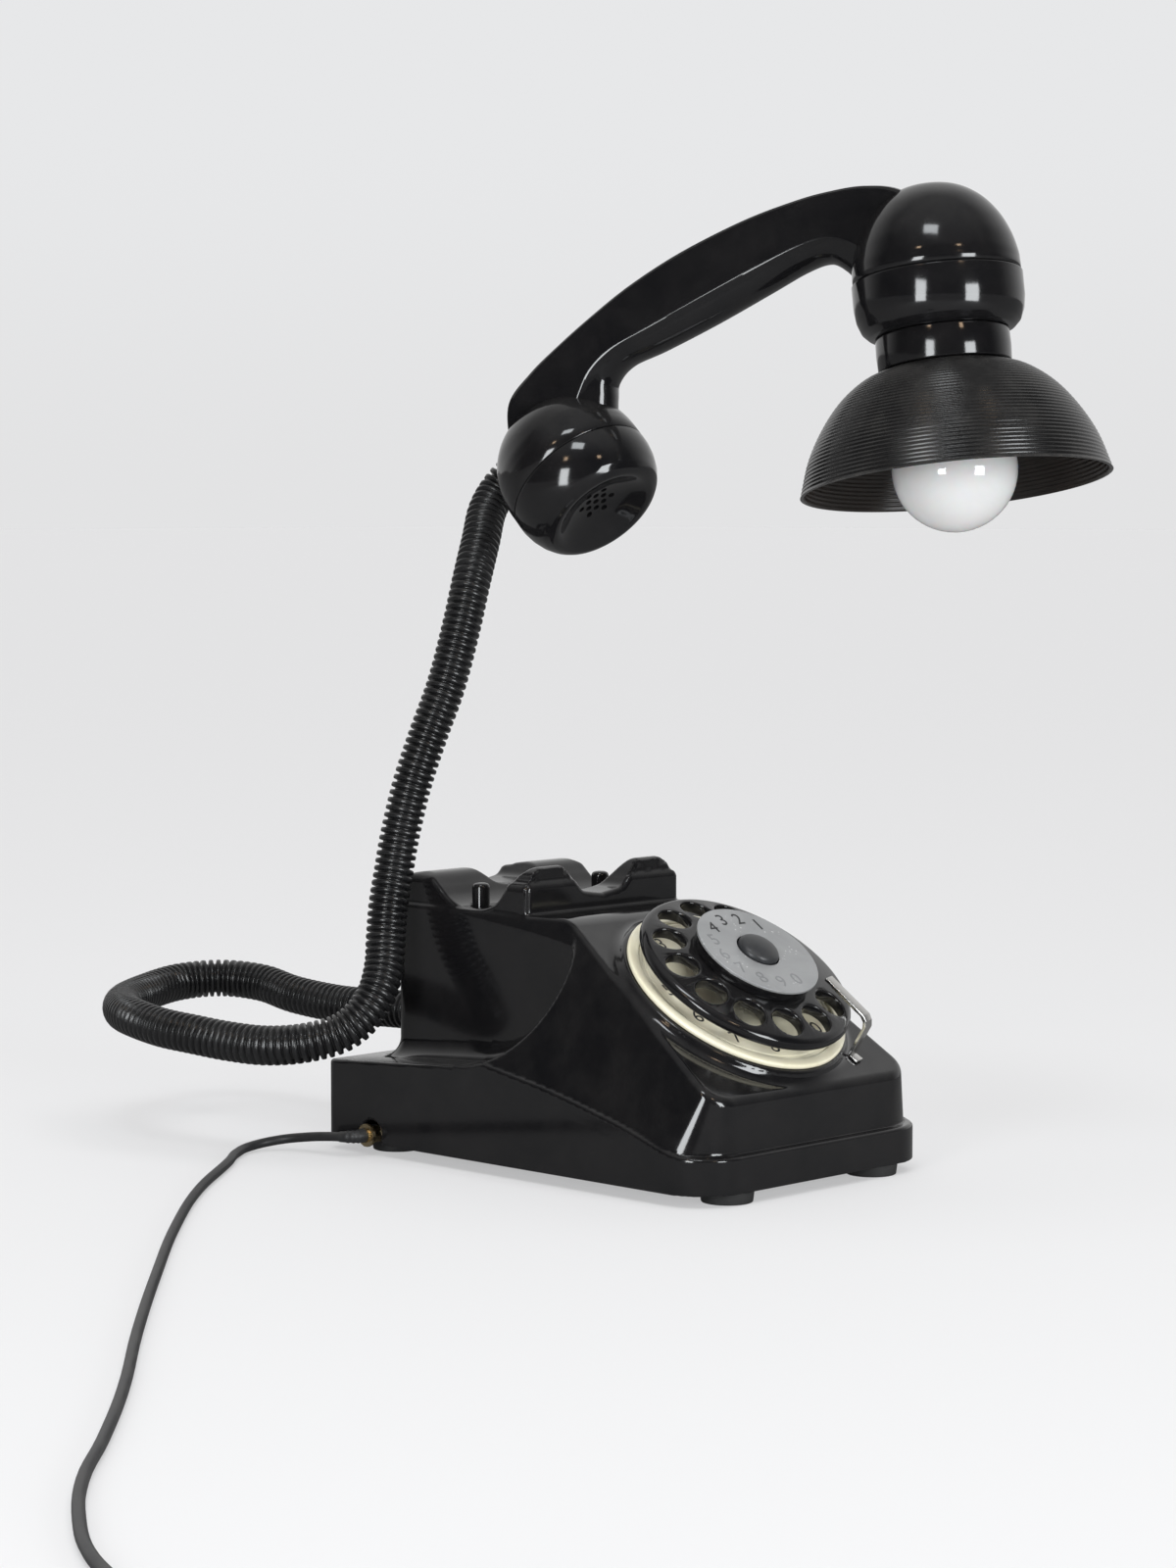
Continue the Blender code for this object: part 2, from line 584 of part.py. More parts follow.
def make_cradle_switch():
    for name, side in (("plunger_left", -1), ("plunger_right", 1)):
        rod = [
            (0.0, PLUNGER_BOTTOM), (PLUNGER_RADIUS, PLUNGER_BOTTOM), (PLUNGER_RADIUS, 0.1000), (0.0062, 0.1000),
            (0.0062, 0.1030), (PLUNGER_RADIUS, 0.1030), (PLUNGER_RADIUS, PLUNGER_TOP - 0.0022),
            (0.0030, PLUNGER_TOP - 0.0006), (0.0, PLUNGER_TOP),
        ]
        turned(name, rod, BAKELITE, Matrix.Translation((side * PLUNGER_X, PLUNGER_Y, 0.0)), 14)

    pivot = along((0.0, LEVER_Y, LEVER_Z), (1, 0, 0))
    outline = [(0.0445, LEVER_Z - 0.0010), (LEVER_Y, LEVER_Z - 0.0040), (0.0820, LEVER_Z - 0.0020),
               (0.0820, LEVER_Z + 0.0018), (0.0445, LEVER_Z + 0.0018)]
    lever = link("hook_lever", prism_mesh("hook_lever", outline, "X", -0.0425, 0.0425), STEEL)
    window = box_mesh("lever_window", (-0.0300, 0.0500, 0.05), (0.0300, 0.0710, 0.1))
    combine(lever, "DIFFERENCE", cutter("lever_window", window))
    pin = [(0.0, -0.0462), (0.0015, -0.0462), (0.0015, 0.0462), (0.0, 0.0462)]
    combine(lever, "UNION", cutter("lever_pin", turned_mesh("lever_pin", pin, 8), pivot))

    bracket = link("hook_bracket", box_mesh("hook_bracket", (-0.0455, 0.0700, 0.0700), (0.0455, 0.0880, 0.1075)), STEEL)
    inside = box_mesh("bracket_inside", (-0.0438, 0.0600, 0.0600), (0.0438, 0.0862, 0.1300))
    combine(bracket, "DIFFERENCE", cutter("bracket_inside", inside))
    drill(bracket, "bracket_bore", 0.0020, -0.06, 0.06, pivot, 8)
    box("contact_stack", (0.0120, 0.0600, 0.0450), (0.0330, 0.0880, 0.0640), DARK_GREY)


# ---------------------------------------------------------------- gooseneck

def make_gooseneck():
    bore = HOSE_RADIUS + GAP
    nut = [(bore, 0.0), (0.0122, 0.0), (0.0122, 0.0070), (bore, 0.0070)]
    rear = along((HOSE_START.x, TOWER_REAR + 0.0088, HOSE_START.z), (0, 1, 0))
    turned("hose_nut_rear", nut, SATIN_BLACK, rear, 20)
    inside_end = (HOSE_START.x, 0.0860, HOSE_START.z)
    hose_segment("hose_loop", [inside_end, HOSE_START] + HOSE_LOOP + [SWING_PIVOT], 0.0, True)
    hose_segment("hose_rise", [SWING_PIVOT] + HOSE_RISE + [LEAN_PIVOT], SEGMENT_GAP, True)
    hose_segment("hose_reach", [LEAN_PIVOT] + HOSE_REACH + [NOD_PIVOT], SEGMENT_GAP, True)


# ---------------------------------------------------------------- handset

def handle_mesh():
    """The handle as a row of sections, each from a point on its back to a point on its underside."""
    stations = [
        ((-0.0200, 0.0200), (0.0190, 0.0020), 0.0130), ((-0.0125, 0.0375), (0.0270, 0.0110), 0.0135),
        ((0.0020, 0.0455), (0.0315, 0.0200), 0.0130), ((0.0190, 0.0510), (0.0350, 0.0265), 0.0125),
        ((0.0380, 0.0560), (0.0440, 0.0300), 0.0120), ((0.0600, 0.0605), (0.0610, 0.0292), 0.0118),
        ((0.0870, 0.0630), (0.0870, 0.0292), 0.0118), ((0.1180, 0.0625), (0.1140, 0.0303), 0.0118),
        ((0.1420, 0.0595), (0.1330, 0.0312), 0.0122), ((0.1580, 0.0560), (0.1440, 0.0295), 0.0127),
        ((0.1740, 0.0505), (0.1495, 0.0230), 0.0133), ((0.1880, 0.0410), (0.1540, 0.0120), 0.0138),
        ((0.1960, 0.0240), (0.1620, 0.0010), 0.0138),
    ]
    section = [(1.0, 0.03), (0.90, 0.0), (-0.90, 0.0), (-1.0, 0.03)]
    for i in range(9):
        angle = math.radians(180.0 + 180.0 * i / 8)
        section.append((math.cos(angle), 0.72 - 0.28 * math.sin(angle)))
    rings = []
    for back, under, half in stations:
        ring = []
        for across, depth in section:
            x = back[0] + (under[0] - back[0]) * depth
            z = back[1] + (under[1] - back[1]) * depth
            ring.append((x, across * half, z))
        rings.append(ring)
    return rings_mesh("handset_shell", rings)


def make_handset():
    shell = link("handset_shell", handle_mesh(), BAKELITE, HANDSET)
    mouth_bowl = [(0.0, -0.0065), (0.0338, -0.0065), (0.0338, 0.0020), (0.0322, 0.0100), (0.0285, 0.0185),
                  (0.0220, 0.0260), (0.0130, 0.0312), (0.0, 0.0330)]
    ear_bowl = [(0.0, 0.0030), (0.0362, 0.0030), (0.0358, 0.0110), (0.0335, 0.0195), (0.0290, 0.0285),
                (0.0220, 0.0365), (0.0125, 0.0420), (0.0, 0.0440)]
    combine(shell, "UNION", cutter("mouth_bowl", turned_mesh("mouth_bowl", mouth_bowl, 28), MOUTH))
    combine(shell, "UNION", cutter("ear_bowl", turned_mesh("ear_bowl", ear_bowl, 28), EAR))
    boss = [(0.0, 0.0260), (0.0125, 0.0260), (0.0125, 0.0372), (0.0, 0.0372)]
    combine(shell, "UNION", cutter("hose_socket", turned_mesh("hose_socket", boss, 20), SOCKET))
    mouth_hollow = [(0.0, -0.0200), (0.0300, -0.0200), (0.0300, 0.0050), (0.0255, 0.0140), (0.0, 0.0140)]
    ear_hollow = [(0.0, -0.0200), (0.0320, -0.0200), (0.0320, 0.0120), (0.0250, 0.0240), (0.0, 0.0240)]
    combine(shell, "DIFFERENCE", cutter("mouth_hollow", turned_mesh("mouth_hollow", mouth_hollow, 20), MOUTH))
    combine(shell, "DIFFERENCE", cutter("ear_hollow", turned_mesh("ear_hollow", ear_hollow, 20), EAR))

    nut = [(0.0, 0.0375), (0.0118, 0.0375), (0.0118, 0.0474), (0.0, 0.0474)]
    turned("hose_nut_upper", nut, SATIN_BLACK, SOCKET, 20)

    cap = [
        (0.0, -0.0165), (0.0150, -0.0165), (0.0200, -0.0205), (0.0295, -0.0205), (0.0295, -0.0068),
        (0.0338, -0.0068), (0.0334, -0.0140), (0.0310, -0.0205), (0.0275, -0.0252), (0.0240, -0.0270),
        (0.0205, -0.0258), (0.0150, -0.0222), (0.0080, -0.0200), (0.0, -0.0196),
    ]
    mouthpiece = turned("mouthpiece_cap", cap, BAKELITE, MOUTH, 30)
    for ring_radius, count in ((0.0, 1), (0.0045, 6)):
        for k in range(count):
            angle = 2.0 * math.pi * k / count
            offset = Matrix.Translation((ring_radius * math.cos(angle), ring_radius * math.sin(angle), 0.0))
            drill(mouthpiece, "sound_hole_%d_%d" % (count, k), 0.0009, -0.03, -0.01, MOUTH @ offset, 6)
    capsule = [(0.0, -0.0160), (0.0240, -0.0160), (0.0240, -0.0110), (0.0200, -0.0070), (0.0, -0.0070)]
    turned("transmitter_capsule", capsule, ALUMINIUM, MOUTH, 20)

    ear_cap = [
        (0.0205, -0.0215), (0.0205, -0.0120), (0.0315, -0.0060), (0.0315, 0.0027), (0.0365, 0.0027), (0.0367, -0.0080),
        (0.0355, -0.0150), (0.0322, -0.0200), (0.0290, -0.0215),
    ]
    turned("earpiece_cap", ear_cap, BAKELITE, EAR, 28)
    collar = [(0.0205, -0.0218), (0.0205, -0.0360), (0.0288, -0.0360), (0.0288, -0.0218)]
    turned("shade_collar", collar, BAKELITE, EAR, 28)
    holder = [
        (0.0, -0.0040), (0.0150, -0.0040), (0.0200, -0.0080), (0.0200, -0.0420), (0.0150, -0.0420), (0.0150, -0.0110),
        (0.0, -0.0110),
    ]
    turned("lampholder", holder, SATIN_BLACK, EAR, 24)
    outer = [(0.0272, -0.0363), (0.0365, -0.0400), (0.0465, -0.0478), (0.0550, -0.0585), (0.0620, -0.0715),
             (0.0665, -0.0860)]
    wall = 0.0014
    inner = [(radius - wall, height - wall * 0.6) for radius, height in outer[1:-1]]
    shade = [(0.0204, -0.0363)] + outer + [(outer[-1][0] - wall, outer[-1][1])] + list(reversed(inner))
    shade += [(0.0262, -0.0377), (0.0204, -0.0377)]
    turned("lamp_shade", shade, SPUN, EAR, 40)
    ring = [(0.0204, -0.0380), (0.0250, -0.0380), (0.0250, -0.0420), (0.0204, -0.0420)]
    turned("shade_ring", ring, SATIN_BLACK, EAR, 24)
    cap_outline = [(0.0, -0.0140), (0.0050, -0.0140), (0.0090, -0.0165), (0.0132, -0.0180), (0.0132, -0.0417),
                   (0.0, -0.0417)]
    turned("bulb_cap", cap_outline, ALUMINIUM, EAR, 20)
    glass = [(0.0, -0.0420), (0.0136, -0.0420), (0.0150, -0.0470), (0.0185, -0.0540)]
    for degrees in (40, 15, -10, -35, -60, -90):
        angle = math.radians(degrees)
        radius = BULB_RADIUS * math.cos(angle) if degrees > -90 else 0.0
        glass.append((radius, BULB_CENTRE + BULB_RADIUS * math.sin(angle)))
    turned("bulb", glass, GLASS, EAR, 28)


# ---------------------------------------------------------------- cord

def make_cord():
    points = smooth_route(CORD_ROUTE, 0.0125)
    curve = bpy.data.curves.new("cord", "CURVE")
    curve.dimensions = "3D"
    curve.bevel_depth = CORD_RADIUS
    curve.bevel_resolution = 2
    curve.use_fill_caps = True
    spline = curve.splines.new("POLY")
    spline.points.add(len(points) - 1)
    for knot, point in zip(spline.points, points):
        knot.co = (*point, 1.0)
    curve.materials.append(CORD)
    cord = bpy.data.objects.new("cord", curve)
    bpy.context.collection.objects.link(cord)
    cord.parent = root

    floor = GAP
    inner, outer = COIL_RADIUS - COIL_SECTION, COIL_RADIUS + COIL_SECTION
    bundle = [(inner + 0.002, floor), (outer - 0.002, floor), (outer, floor + 0.003), (outer, floor + 0.0096),
              (outer - 0.002, floor + 0.0126), (inner + 0.002, floor + 0.0126), (inner, floor + 0.0096),
              (inner, floor + 0.003)]
    turned("cord_coil", bundle, CORD, Matrix.Translation(COIL_CENTRE), 32)
    make_plug()


def make_plug():
    """A flat two-pin plug. Its X runs from the cord to the pins, and it lies on its broad side."""
    place = Matrix.Translation(COIL_CENTRE) @ Matrix.Rotation(PLUG_HEADING, 4, "Z")
    place = place @ Matrix.Translation((0.0, -OUTER_TURN, 0.0))
    low, high = GAP, 0.0131
    corners = []
    for x, half in ((0.0290, 0.0050), (0.0460, 0.0150), (0.0640, 0.0150)):
        for side in (-1, 1):
            corners.append((x, side * half, low + 0.0035))
            corners.append((x, side * half, high - 0.0035))
            corners.append((x, side * (half - 0.003), low if x > 0.03 else low + 0.0025))
            corners.append((x, side * (half - 0.003), high if x > 0.03 else high - 0.0025))
    plug = link("plug", hull_mesh("plug", corners), CORD, place)
    middle = (low + high) / 2.0
    relief = [(0.0, 0.0246), (0.0027, 0.0246), (0.0036, 0.0310), (0.0, 0.0310)]
    combine(plug, "UNION", cutter("plug_relief", turned_mesh("plug_relief", relief, 10),
                                  place @ along((0.0, 0.0, middle), (1, 0, 0))))
    pin = [(0.0, 0.0600), (0.0020, 0.0600), (0.0020, 0.0820), (0.0, 0.0830)]
    for side in (-1, 1):
        combine(plug, "UNION", cutter("plug_pin_%d" % side, turned_mesh("plug_pin", pin, 10),
                                      place @ along((0.0, side * 0.0093, middle), (1, 0, 0))))


clear_scene()
root = bpy.data.objects.new("telephone", None)
bpy.context.collection.objects.link(root)

BAKELITE = material("bakelite", (0.010, 0.010, 0.011), 0.16)
SATIN_BLACK = material("satin_black", (0.018, 0.018, 0.019), 0.42)
HOSE = material("hose", (0.016, 0.016, 0.017), 0.45)
SPUN = material("spun_metal", (0.022, 0.021, 0.021), 0.35)
CREAM = material("cream", (0.78, 0.72, 0.52), 0.35)
GREY = material("grey", (0.42, 0.43, 0.44), 0.45)
DARK_GREY = material("dark_grey", (0.08, 0.08, 0.085), 0.40)
CHROME = material("chrome", (0.72, 0.72, 0.72), 0.15, 1.0)
STEEL = material("steel", (0.45, 0.45, 0.46), 0.40, 1.0)
IRON = material("iron", (0.20, 0.20, 0.21), 0.70, 1.0)
BRASS = material("brass", (0.60, 0.50, 0.32), 0.30, 1.0)
ALUMINIUM = material("aluminium", (0.70, 0.70, 0.71), 0.35, 1.0)
RUBBER = material("rubber", (0.020, 0.020, 0.020), 0.80)
GLASS = material("opal_glass", (0.86, 0.86, 0.85), 0.12)
CORD = material("cord", (0.020, 0.020, 0.021), 0.50)

SLOPE_FOOT = Vector((0.0, UPPER_FRONT, SLOPE_FOOT_Z))
UP_SLOPE = Vector((0.0, math.cos(SLOPE), math.sin(SLOPE)))
DIAL = Matrix.Translation(SLOPE_FOOT + UP_SLOPE * DIAL_ALONG) @ Matrix.Rotation(SLOPE, 4, "X")
HANDSET_Y = HANDSET_UP.cross(HANDSET_X).normalized()
HANDSET_Z = HANDSET_X.cross(HANDSET_Y)
HANDSET = Matrix.Translation(MOUTH_CENTRE) @ Matrix((HANDSET_X, HANDSET_Y, HANDSET_Z)).transposed().to_4x4()
MOUTH = HANDSET @ Matrix.Rotation(MOUTH_ROLL, 4, "X") @ Matrix.Rotation(MOUTH_TILT, 4, "Y")
EAR = HANDSET @ Matrix.Translation(EAR_PLACE) @ Matrix.Rotation(EAR_ROLL, 4, "X") @ Matrix.Rotation(EAR_TILT, 4, "Y")
SOCKET = along(MOUTH_CENTRE, NOD_PIVOT - MOUTH_CENTRE)

make_housing()
make_base()
make_dial()
make_cradle_switch()
make_gooseneck()
make_handset()
make_cord()
root.location = FRAME_SHIFT
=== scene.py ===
import math

import bmesh
import bpy
import numpy as np
from mathutils import Matrix, Vector


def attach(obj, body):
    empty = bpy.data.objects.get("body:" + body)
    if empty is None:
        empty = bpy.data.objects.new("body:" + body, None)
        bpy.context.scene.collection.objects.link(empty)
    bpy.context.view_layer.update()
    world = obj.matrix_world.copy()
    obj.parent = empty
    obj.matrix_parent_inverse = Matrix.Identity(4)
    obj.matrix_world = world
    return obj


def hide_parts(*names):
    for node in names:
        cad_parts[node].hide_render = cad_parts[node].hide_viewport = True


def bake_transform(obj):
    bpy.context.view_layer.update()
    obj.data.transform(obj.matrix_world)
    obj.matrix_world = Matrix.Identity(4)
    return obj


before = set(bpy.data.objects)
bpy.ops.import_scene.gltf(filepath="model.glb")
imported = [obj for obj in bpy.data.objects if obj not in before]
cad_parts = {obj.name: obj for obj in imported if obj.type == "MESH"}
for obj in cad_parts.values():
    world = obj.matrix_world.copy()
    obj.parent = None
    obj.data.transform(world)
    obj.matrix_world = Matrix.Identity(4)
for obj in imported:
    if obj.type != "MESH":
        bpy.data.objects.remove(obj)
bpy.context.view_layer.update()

frameShift = Vector((0.0018, -0.0276, 0.0))   # from the telephone's own middle to the row's origin


def turnedTo(start, direction):   # a frame at start whose Z points along direction
    turn = Vector(direction).to_track_quat("Z", "Y").to_matrix().to_4x4()
    return Matrix.Translation(start) @ turn


# places on the telephone, as in the CAD
faceSlope = math.radians(34.0)
upSlope = Vector((0.0, math.cos(faceSlope), math.sin(faceSlope)))
dialMiddle = frameShift + Vector((0.0, -0.114, 0.0443)) + upSlope * 0.0573
dialPlace = Matrix.Translation(dialMiddle) @ Matrix.Rotation(faceSlope, 4, "X")
handsetAlong = Vector((0.3821, -0.8170, 0.4319)).normalized()
handsetAcross = Vector((-0.0897, 0.4323, 0.8972)).cross(handsetAlong).normalized()
handsetTurn = Matrix((handsetAlong, handsetAcross, handsetAlong.cross(handsetAcross))).transposed().to_4x4()
mouthMiddle = frameShift + Vector((-0.0001, 0.0287, 0.3046))
handsetPlace = Matrix.Translation(mouthMiddle) @ handsetTurn
mouthPlace = handsetPlace @ Matrix.Rotation(math.radians(-12.97), 4, "X") @ Matrix.Rotation(math.radians(-16.41),
                                                                                            4, "Y")
earPlace = handsetPlace @ Matrix.Translation((0.1830, 0.0011, -0.0002))
earPlace = earPlace @ Matrix.Rotation(math.radians(-1.41), 4, "X") @ Matrix.Rotation(math.radians(17.83), 4, "Y")
nodPivot = frameShift + Vector((0.0160, 0.0835, 0.3030))
leanPivot = frameShift + Vector((-0.0441, 0.0765, 0.1868))
swingPivot = frameShift + Vector((-0.0957, 0.0791, 0.0572))
socketPlace = turnedTo(mouthMiddle, nodPivot - mouthMiddle)


# camera, floor and light
def lookAlong(where, forward):
    forward = Vector(forward).normalized()
    return Matrix.Translation(where) @ (-forward).to_track_quat("Z", "Y").to_matrix().to_4x4()


camera = {"place": (-1.2173, -1.1661, 0.2914), "yaw": 0.7985, "pitch": 0.0740, "lens": 87.86}
level = math.cos(camera["pitch"])
lookForward = Vector((math.sin(camera["yaw"]) * level, math.cos(camera["yaw"]) * level, -math.sin(camera["pitch"])))
lens = bpy.data.cameras.new("studioCamera")
lens.lens = camera["lens"]
lens.sensor_width = 36.0
lens.clip_start = 0.05
lens.clip_end = 60.0
viewer = bpy.data.objects.new("studioCamera", lens)
bpy.context.collection.objects.link(viewer)
viewer.matrix_world = lookAlong(Vector(camera["place"]) + frameShift, lookForward)
bpy.context.scene.camera = viewer
bpy.context.scene.view_settings.view_transform = "Standard"
print("camera placed")

studio = {"floorTone": 0.36, "floorEcho": 0.22, "floorGlow": 0.44, "wallTone": (0.80, 0.805, 0.815),
          "horizonTone": (0.768, 0.769, 0.776), "roomTone": 0.012, "ceilingTone": 0.30, "sun": 1.75,
          "sunWidth": 70.0, "boxBrightness": 13.0, "topBrightness": 9.0}


def buildStudio():
    scene = bpy.context.scene
    world = bpy.data.worlds.new("paleRoom")
    scene.world = world
    world.use_nodes = True
    tree = world.node_tree
    back = tree.nodes["Background"]
    seen = tree.nodes.new("ShaderNodeBackground")
    place = tree.nodes.new("ShaderNodeTexCoord")
    behind = tree.nodes.new("ShaderNodeVectorMath")
    behind.operation = "DOT_PRODUCT"
    behind.inputs[1].default_value = (lookForward.x, lookForward.y, 0.0)
    tree.links.new(place.outputs["Generated"], behind.inputs[0])
    side = tree.nodes.new("ShaderNodeMapRange")
    side.interpolation_type = "SMOOTHSTEP"
    for name, value in (("From Min", -0.15), ("From Max", 0.75), ("To Min", studio["roomTone"]), ("To Max", 0.72)):
        side.inputs[name].default_value = value
    tree.links.new(behind.outputs["Value"], side.inputs["Value"])
    parts = tree.nodes.new("ShaderNodeSeparateXYZ")
    tree.links.new(place.outputs["Generated"], parts.inputs["Vector"])
    above = tree.nodes.new("ShaderNodeMapRange")
    above.interpolation_type = "SMOOTHSTEP"
    for name, value in (("From Min", 0.45), ("From Max", 1.0), ("To Min", 0.0), ("To Max", studio["ceilingTone"])):
        above.inputs[name].default_value = value
    tree.links.new(parts.outputs["Z"], above.inputs["Value"])
    rise = tree.nodes.new("ShaderNodeMapRange")   # the wall starts in the floor's tone, so no horizon shows
    rise.interpolation_type = "SMOOTHSTEP"
    rise.inputs["From Max"].default_value = 0.10
    tree.links.new(parts.outputs["Z"], rise.inputs["Value"])
    wall = tree.nodes.new("ShaderNodeMix")
    wall.data_type = "RGBA"
    wall.inputs[6].default_value = (*studio["horizonTone"], 1.0)
    wall.inputs[7].default_value = (*studio["wallTone"], 1.0)
    tree.links.new(rise.outputs["Result"], wall.inputs[0])
    tree.links.new(wall.outputs[2], seen.inputs["Color"])
    total = tree.nodes.new("ShaderNodeMath")
    total.operation = "MAXIMUM"
    tree.links.new(side.outputs["Result"], total.inputs[0])
    tree.links.new(above.outputs["Result"], total.inputs[1])
    tree.links.new(total.outputs["Value"], back.inputs["Color"])
    path = tree.nodes.new("ShaderNodeLightPath")
    mix = tree.nodes.new("ShaderNodeMixShader")
    tree.links.new(path.outputs["Is Camera Ray"], mix.inputs["Fac"])
    tree.links.new(back.outputs["Background"], mix.inputs[1])
    tree.links.new(seen.outputs["Background"], mix.inputs[2])
    tree.links.new(mix.outputs["Shader"], tree.nodes["World Output"].inputs["Surface"])

    floorMesh = bpy.data.meshes.new("studioFloor")
    floorMesh.from_pydata([(-30, -30, 0), (30, -30, 0), (30, 30, 0), (-30, 30, 0)], [], [(0, 1, 2, 3)])
    floor = bpy.data.objects.new("studioFloor", floorMesh)
    bpy.context.collection.objects.link(floor)
    pale = bpy.data.materials.new("paleFloor")
    pale.use_nodes = True
    shader = pale.node_tree.nodes["Principled BSDF"]
    shader.inputs["Base Color"].default_value = (studio["floorTone"], studio["floorTone"],
                                                 studio["floorTone"] * 1.01, 1.0)
    shader.inputs["Emission Color"].default_value = (1.0, 1.0, 1.01, 1.0)
    shader.inputs["Emission Strength"].default_value = studio["floorGlow"]
    shader.inputs["Roughness"].default_value = 0.75
    shader.inputs["Specular IOR Level"].default_value = 0.1
    dim = pale.node_tree.nodes.new("ShaderNodeBsdfDiffuse")   # what the pale floor gives back to glossy pieces
    dim.inputs["Color"].default_value = (studio["floorEcho"], studio["floorEcho"], studio["floorEcho"], 1.0)
    path = pale.node_tree.nodes.new("ShaderNodeLightPath")
    either = pale.node_tree.nodes.new("ShaderNodeMixShader")
    pale.node_tree.links.new(path.outputs["Is Glossy Ray"], either.inputs["Fac"])
    pale.node_tree.links.new(shader.outputs["BSDF"], either.inputs[1])
    pale.node_tree.links.new(dim.outputs["BSDF"], either.inputs[2])
    pale.node_tree.links.new(either.outputs["Shader"], pale.node_tree.nodes["Material Output"].inputs["Surface"])
    floorMesh.materials.append(pale)

    sun = bpy.data.lights.new("skylight", "SUN")
    sun.energy = studio["sun"]
    sun.angle = math.radians(studio["sunWidth"])
    lamp = bpy.data.objects.new("skylight", sun)
    lamp.visible_glossy = False
    bpy.context.collection.objects.link(lamp)
    lamp.matrix_world = lookAlong((0, 0, 3), (0.10, 0.25, -1.0))

    def softBox(name, aim, azimuth, elevation, distance, width, height, brightness, tint):
        heading = math.atan2(-lookForward.y, -lookForward.x) + math.radians(azimuth)
        out = Vector((math.cos(heading) * math.cos(math.radians(elevation)),
                      math.sin(heading) * math.cos(math.radians(elevation)), math.sin(math.radians(elevation))))
        light = bpy.data.lights.new(name, "AREA")
        light.shape = "RECTANGLE"
        light.size, light.size_y = width, height
        light.energy = brightness * width * height * math.pi
        light.color = tint
        box = bpy.data.objects.new(name, light)
        bpy.context.collection.objects.link(box)
        box.matrix_world = lookAlong(Vector(aim) + out * distance, -out)

    aim = (0.05, -0.10, 0.30)
    softBox("softBoxLeft", aim, 41.0, 2.0, 1.9, 0.60, 0.95, studio["boxBrightness"], (0.95, 0.98, 1.0))
    softBox("softBoxRight", aim, -27.0, 3.0, 1.9, 0.46, 0.95, studio["boxBrightness"], (0.95, 0.98, 1.0))
    softBox("windowAbove", aim, -14.0, 56.0, 2.2, 0.62, 0.42, studio["topBrightness"], (0.93, 0.97, 1.0))
    softBox("warmShelfLeft", aim, 30.0, 33.0, 2.2, 0.20, 0.20, 9.0, (1.0, 0.72, 0.48))
    softBox("warmShelfRight", aim, -30.0, 33.0, 2.2, 0.20, 0.20, 9.0, (1.0, 0.72, 0.48))


buildStudio()
print("studio lit")
def addNode(tree, kind, values=(), **settings):   # one node, its settings and its inputs' values
    node = tree.nodes.new(kind)
    for name, value in settings.items():
        setattr(node, name, value)
    for socket, value in dict(values).items():
        if hasattr(value, "links"):
            tree.links.new(value, node.inputs[socket])
        else:
            node.inputs[socket].default_value = value
    return node


def startGroup(name, kind, inputs, outputs):   # a node group with its named sockets
    tree = bpy.data.node_groups.new(name, kind)
    for label, socketType, value in inputs:
        socket = tree.interface.new_socket(label, in_out="INPUT", socket_type=socketType)
        if value is not None:
            socket.default_value = value
    for label, socketType in outputs:
        tree.interface.new_socket(label, in_out="OUTPUT", socket_type=socketType)
    return tree, tree.nodes.new("NodeGroupInput").outputs, tree.nodes.new("NodeGroupOutput")


def mapped(tree, value, fromLow, fromHigh, toLow=0.0, toHigh=1.0):
    return addNode(tree, "ShaderNodeMapRange", {"Value": value, "From Min": fromLow, "From Max": fromHigh,
                                                "To Min": toLow, "To Max": toHigh}).outputs["Result"]


def multiplied(tree, first, second):
    return addNode(tree, "ShaderNodeMath", {0: first, 1: second}, operation="MULTIPLY").outputs["Value"]


def buildDustGroup():   # fine settled dust: more on what faces up, in specks and soft patches
    tree, given, result = startGroup("settledDust", "ShaderNodeTree",
                                     [("Amount", "NodeSocketFloat", 0.3), ("Speck Scale", "NodeSocketFloat", 1500.0)],
                                     [("Dust", "NodeSocketFloat"), ("Specks", "NodeSocketFloat")])
    place = addNode(tree, "ShaderNodeTexCoord").outputs["Object"]
    facing = addNode(tree, "ShaderNodeSeparateXYZ", {0: addNode(tree, "ShaderNodeNewGeometry").outputs["Normal"]})
    upward = mapped(tree, facing.outputs["Z"], -0.1, 0.9)
    patches = addNode(tree, "ShaderNodeTexNoise", {"Vector": place, "Scale": 55.0, "Detail": 5.0, "Roughness": 0.6})
    soft = mapped(tree, patches.outputs["Fac"], 0.38, 0.72)
    layer = multiplied(tree, multiplied(tree, soft, upward), given["Amount"])
    fine = addNode(tree, "ShaderNodeTexNoise", {"Vector": place, "Scale": given["Speck Scale"], "Detail": 1.0})
    specks = multiplied(tree, mapped(tree, fine.outputs["Fac"], 0.70, 0.78), soft)
    tree.links.new(layer, result.inputs["Dust"])
    tree.links.new(multiplied(tree, specks, given["Amount"]), result.inputs["Specks"])
    return tree


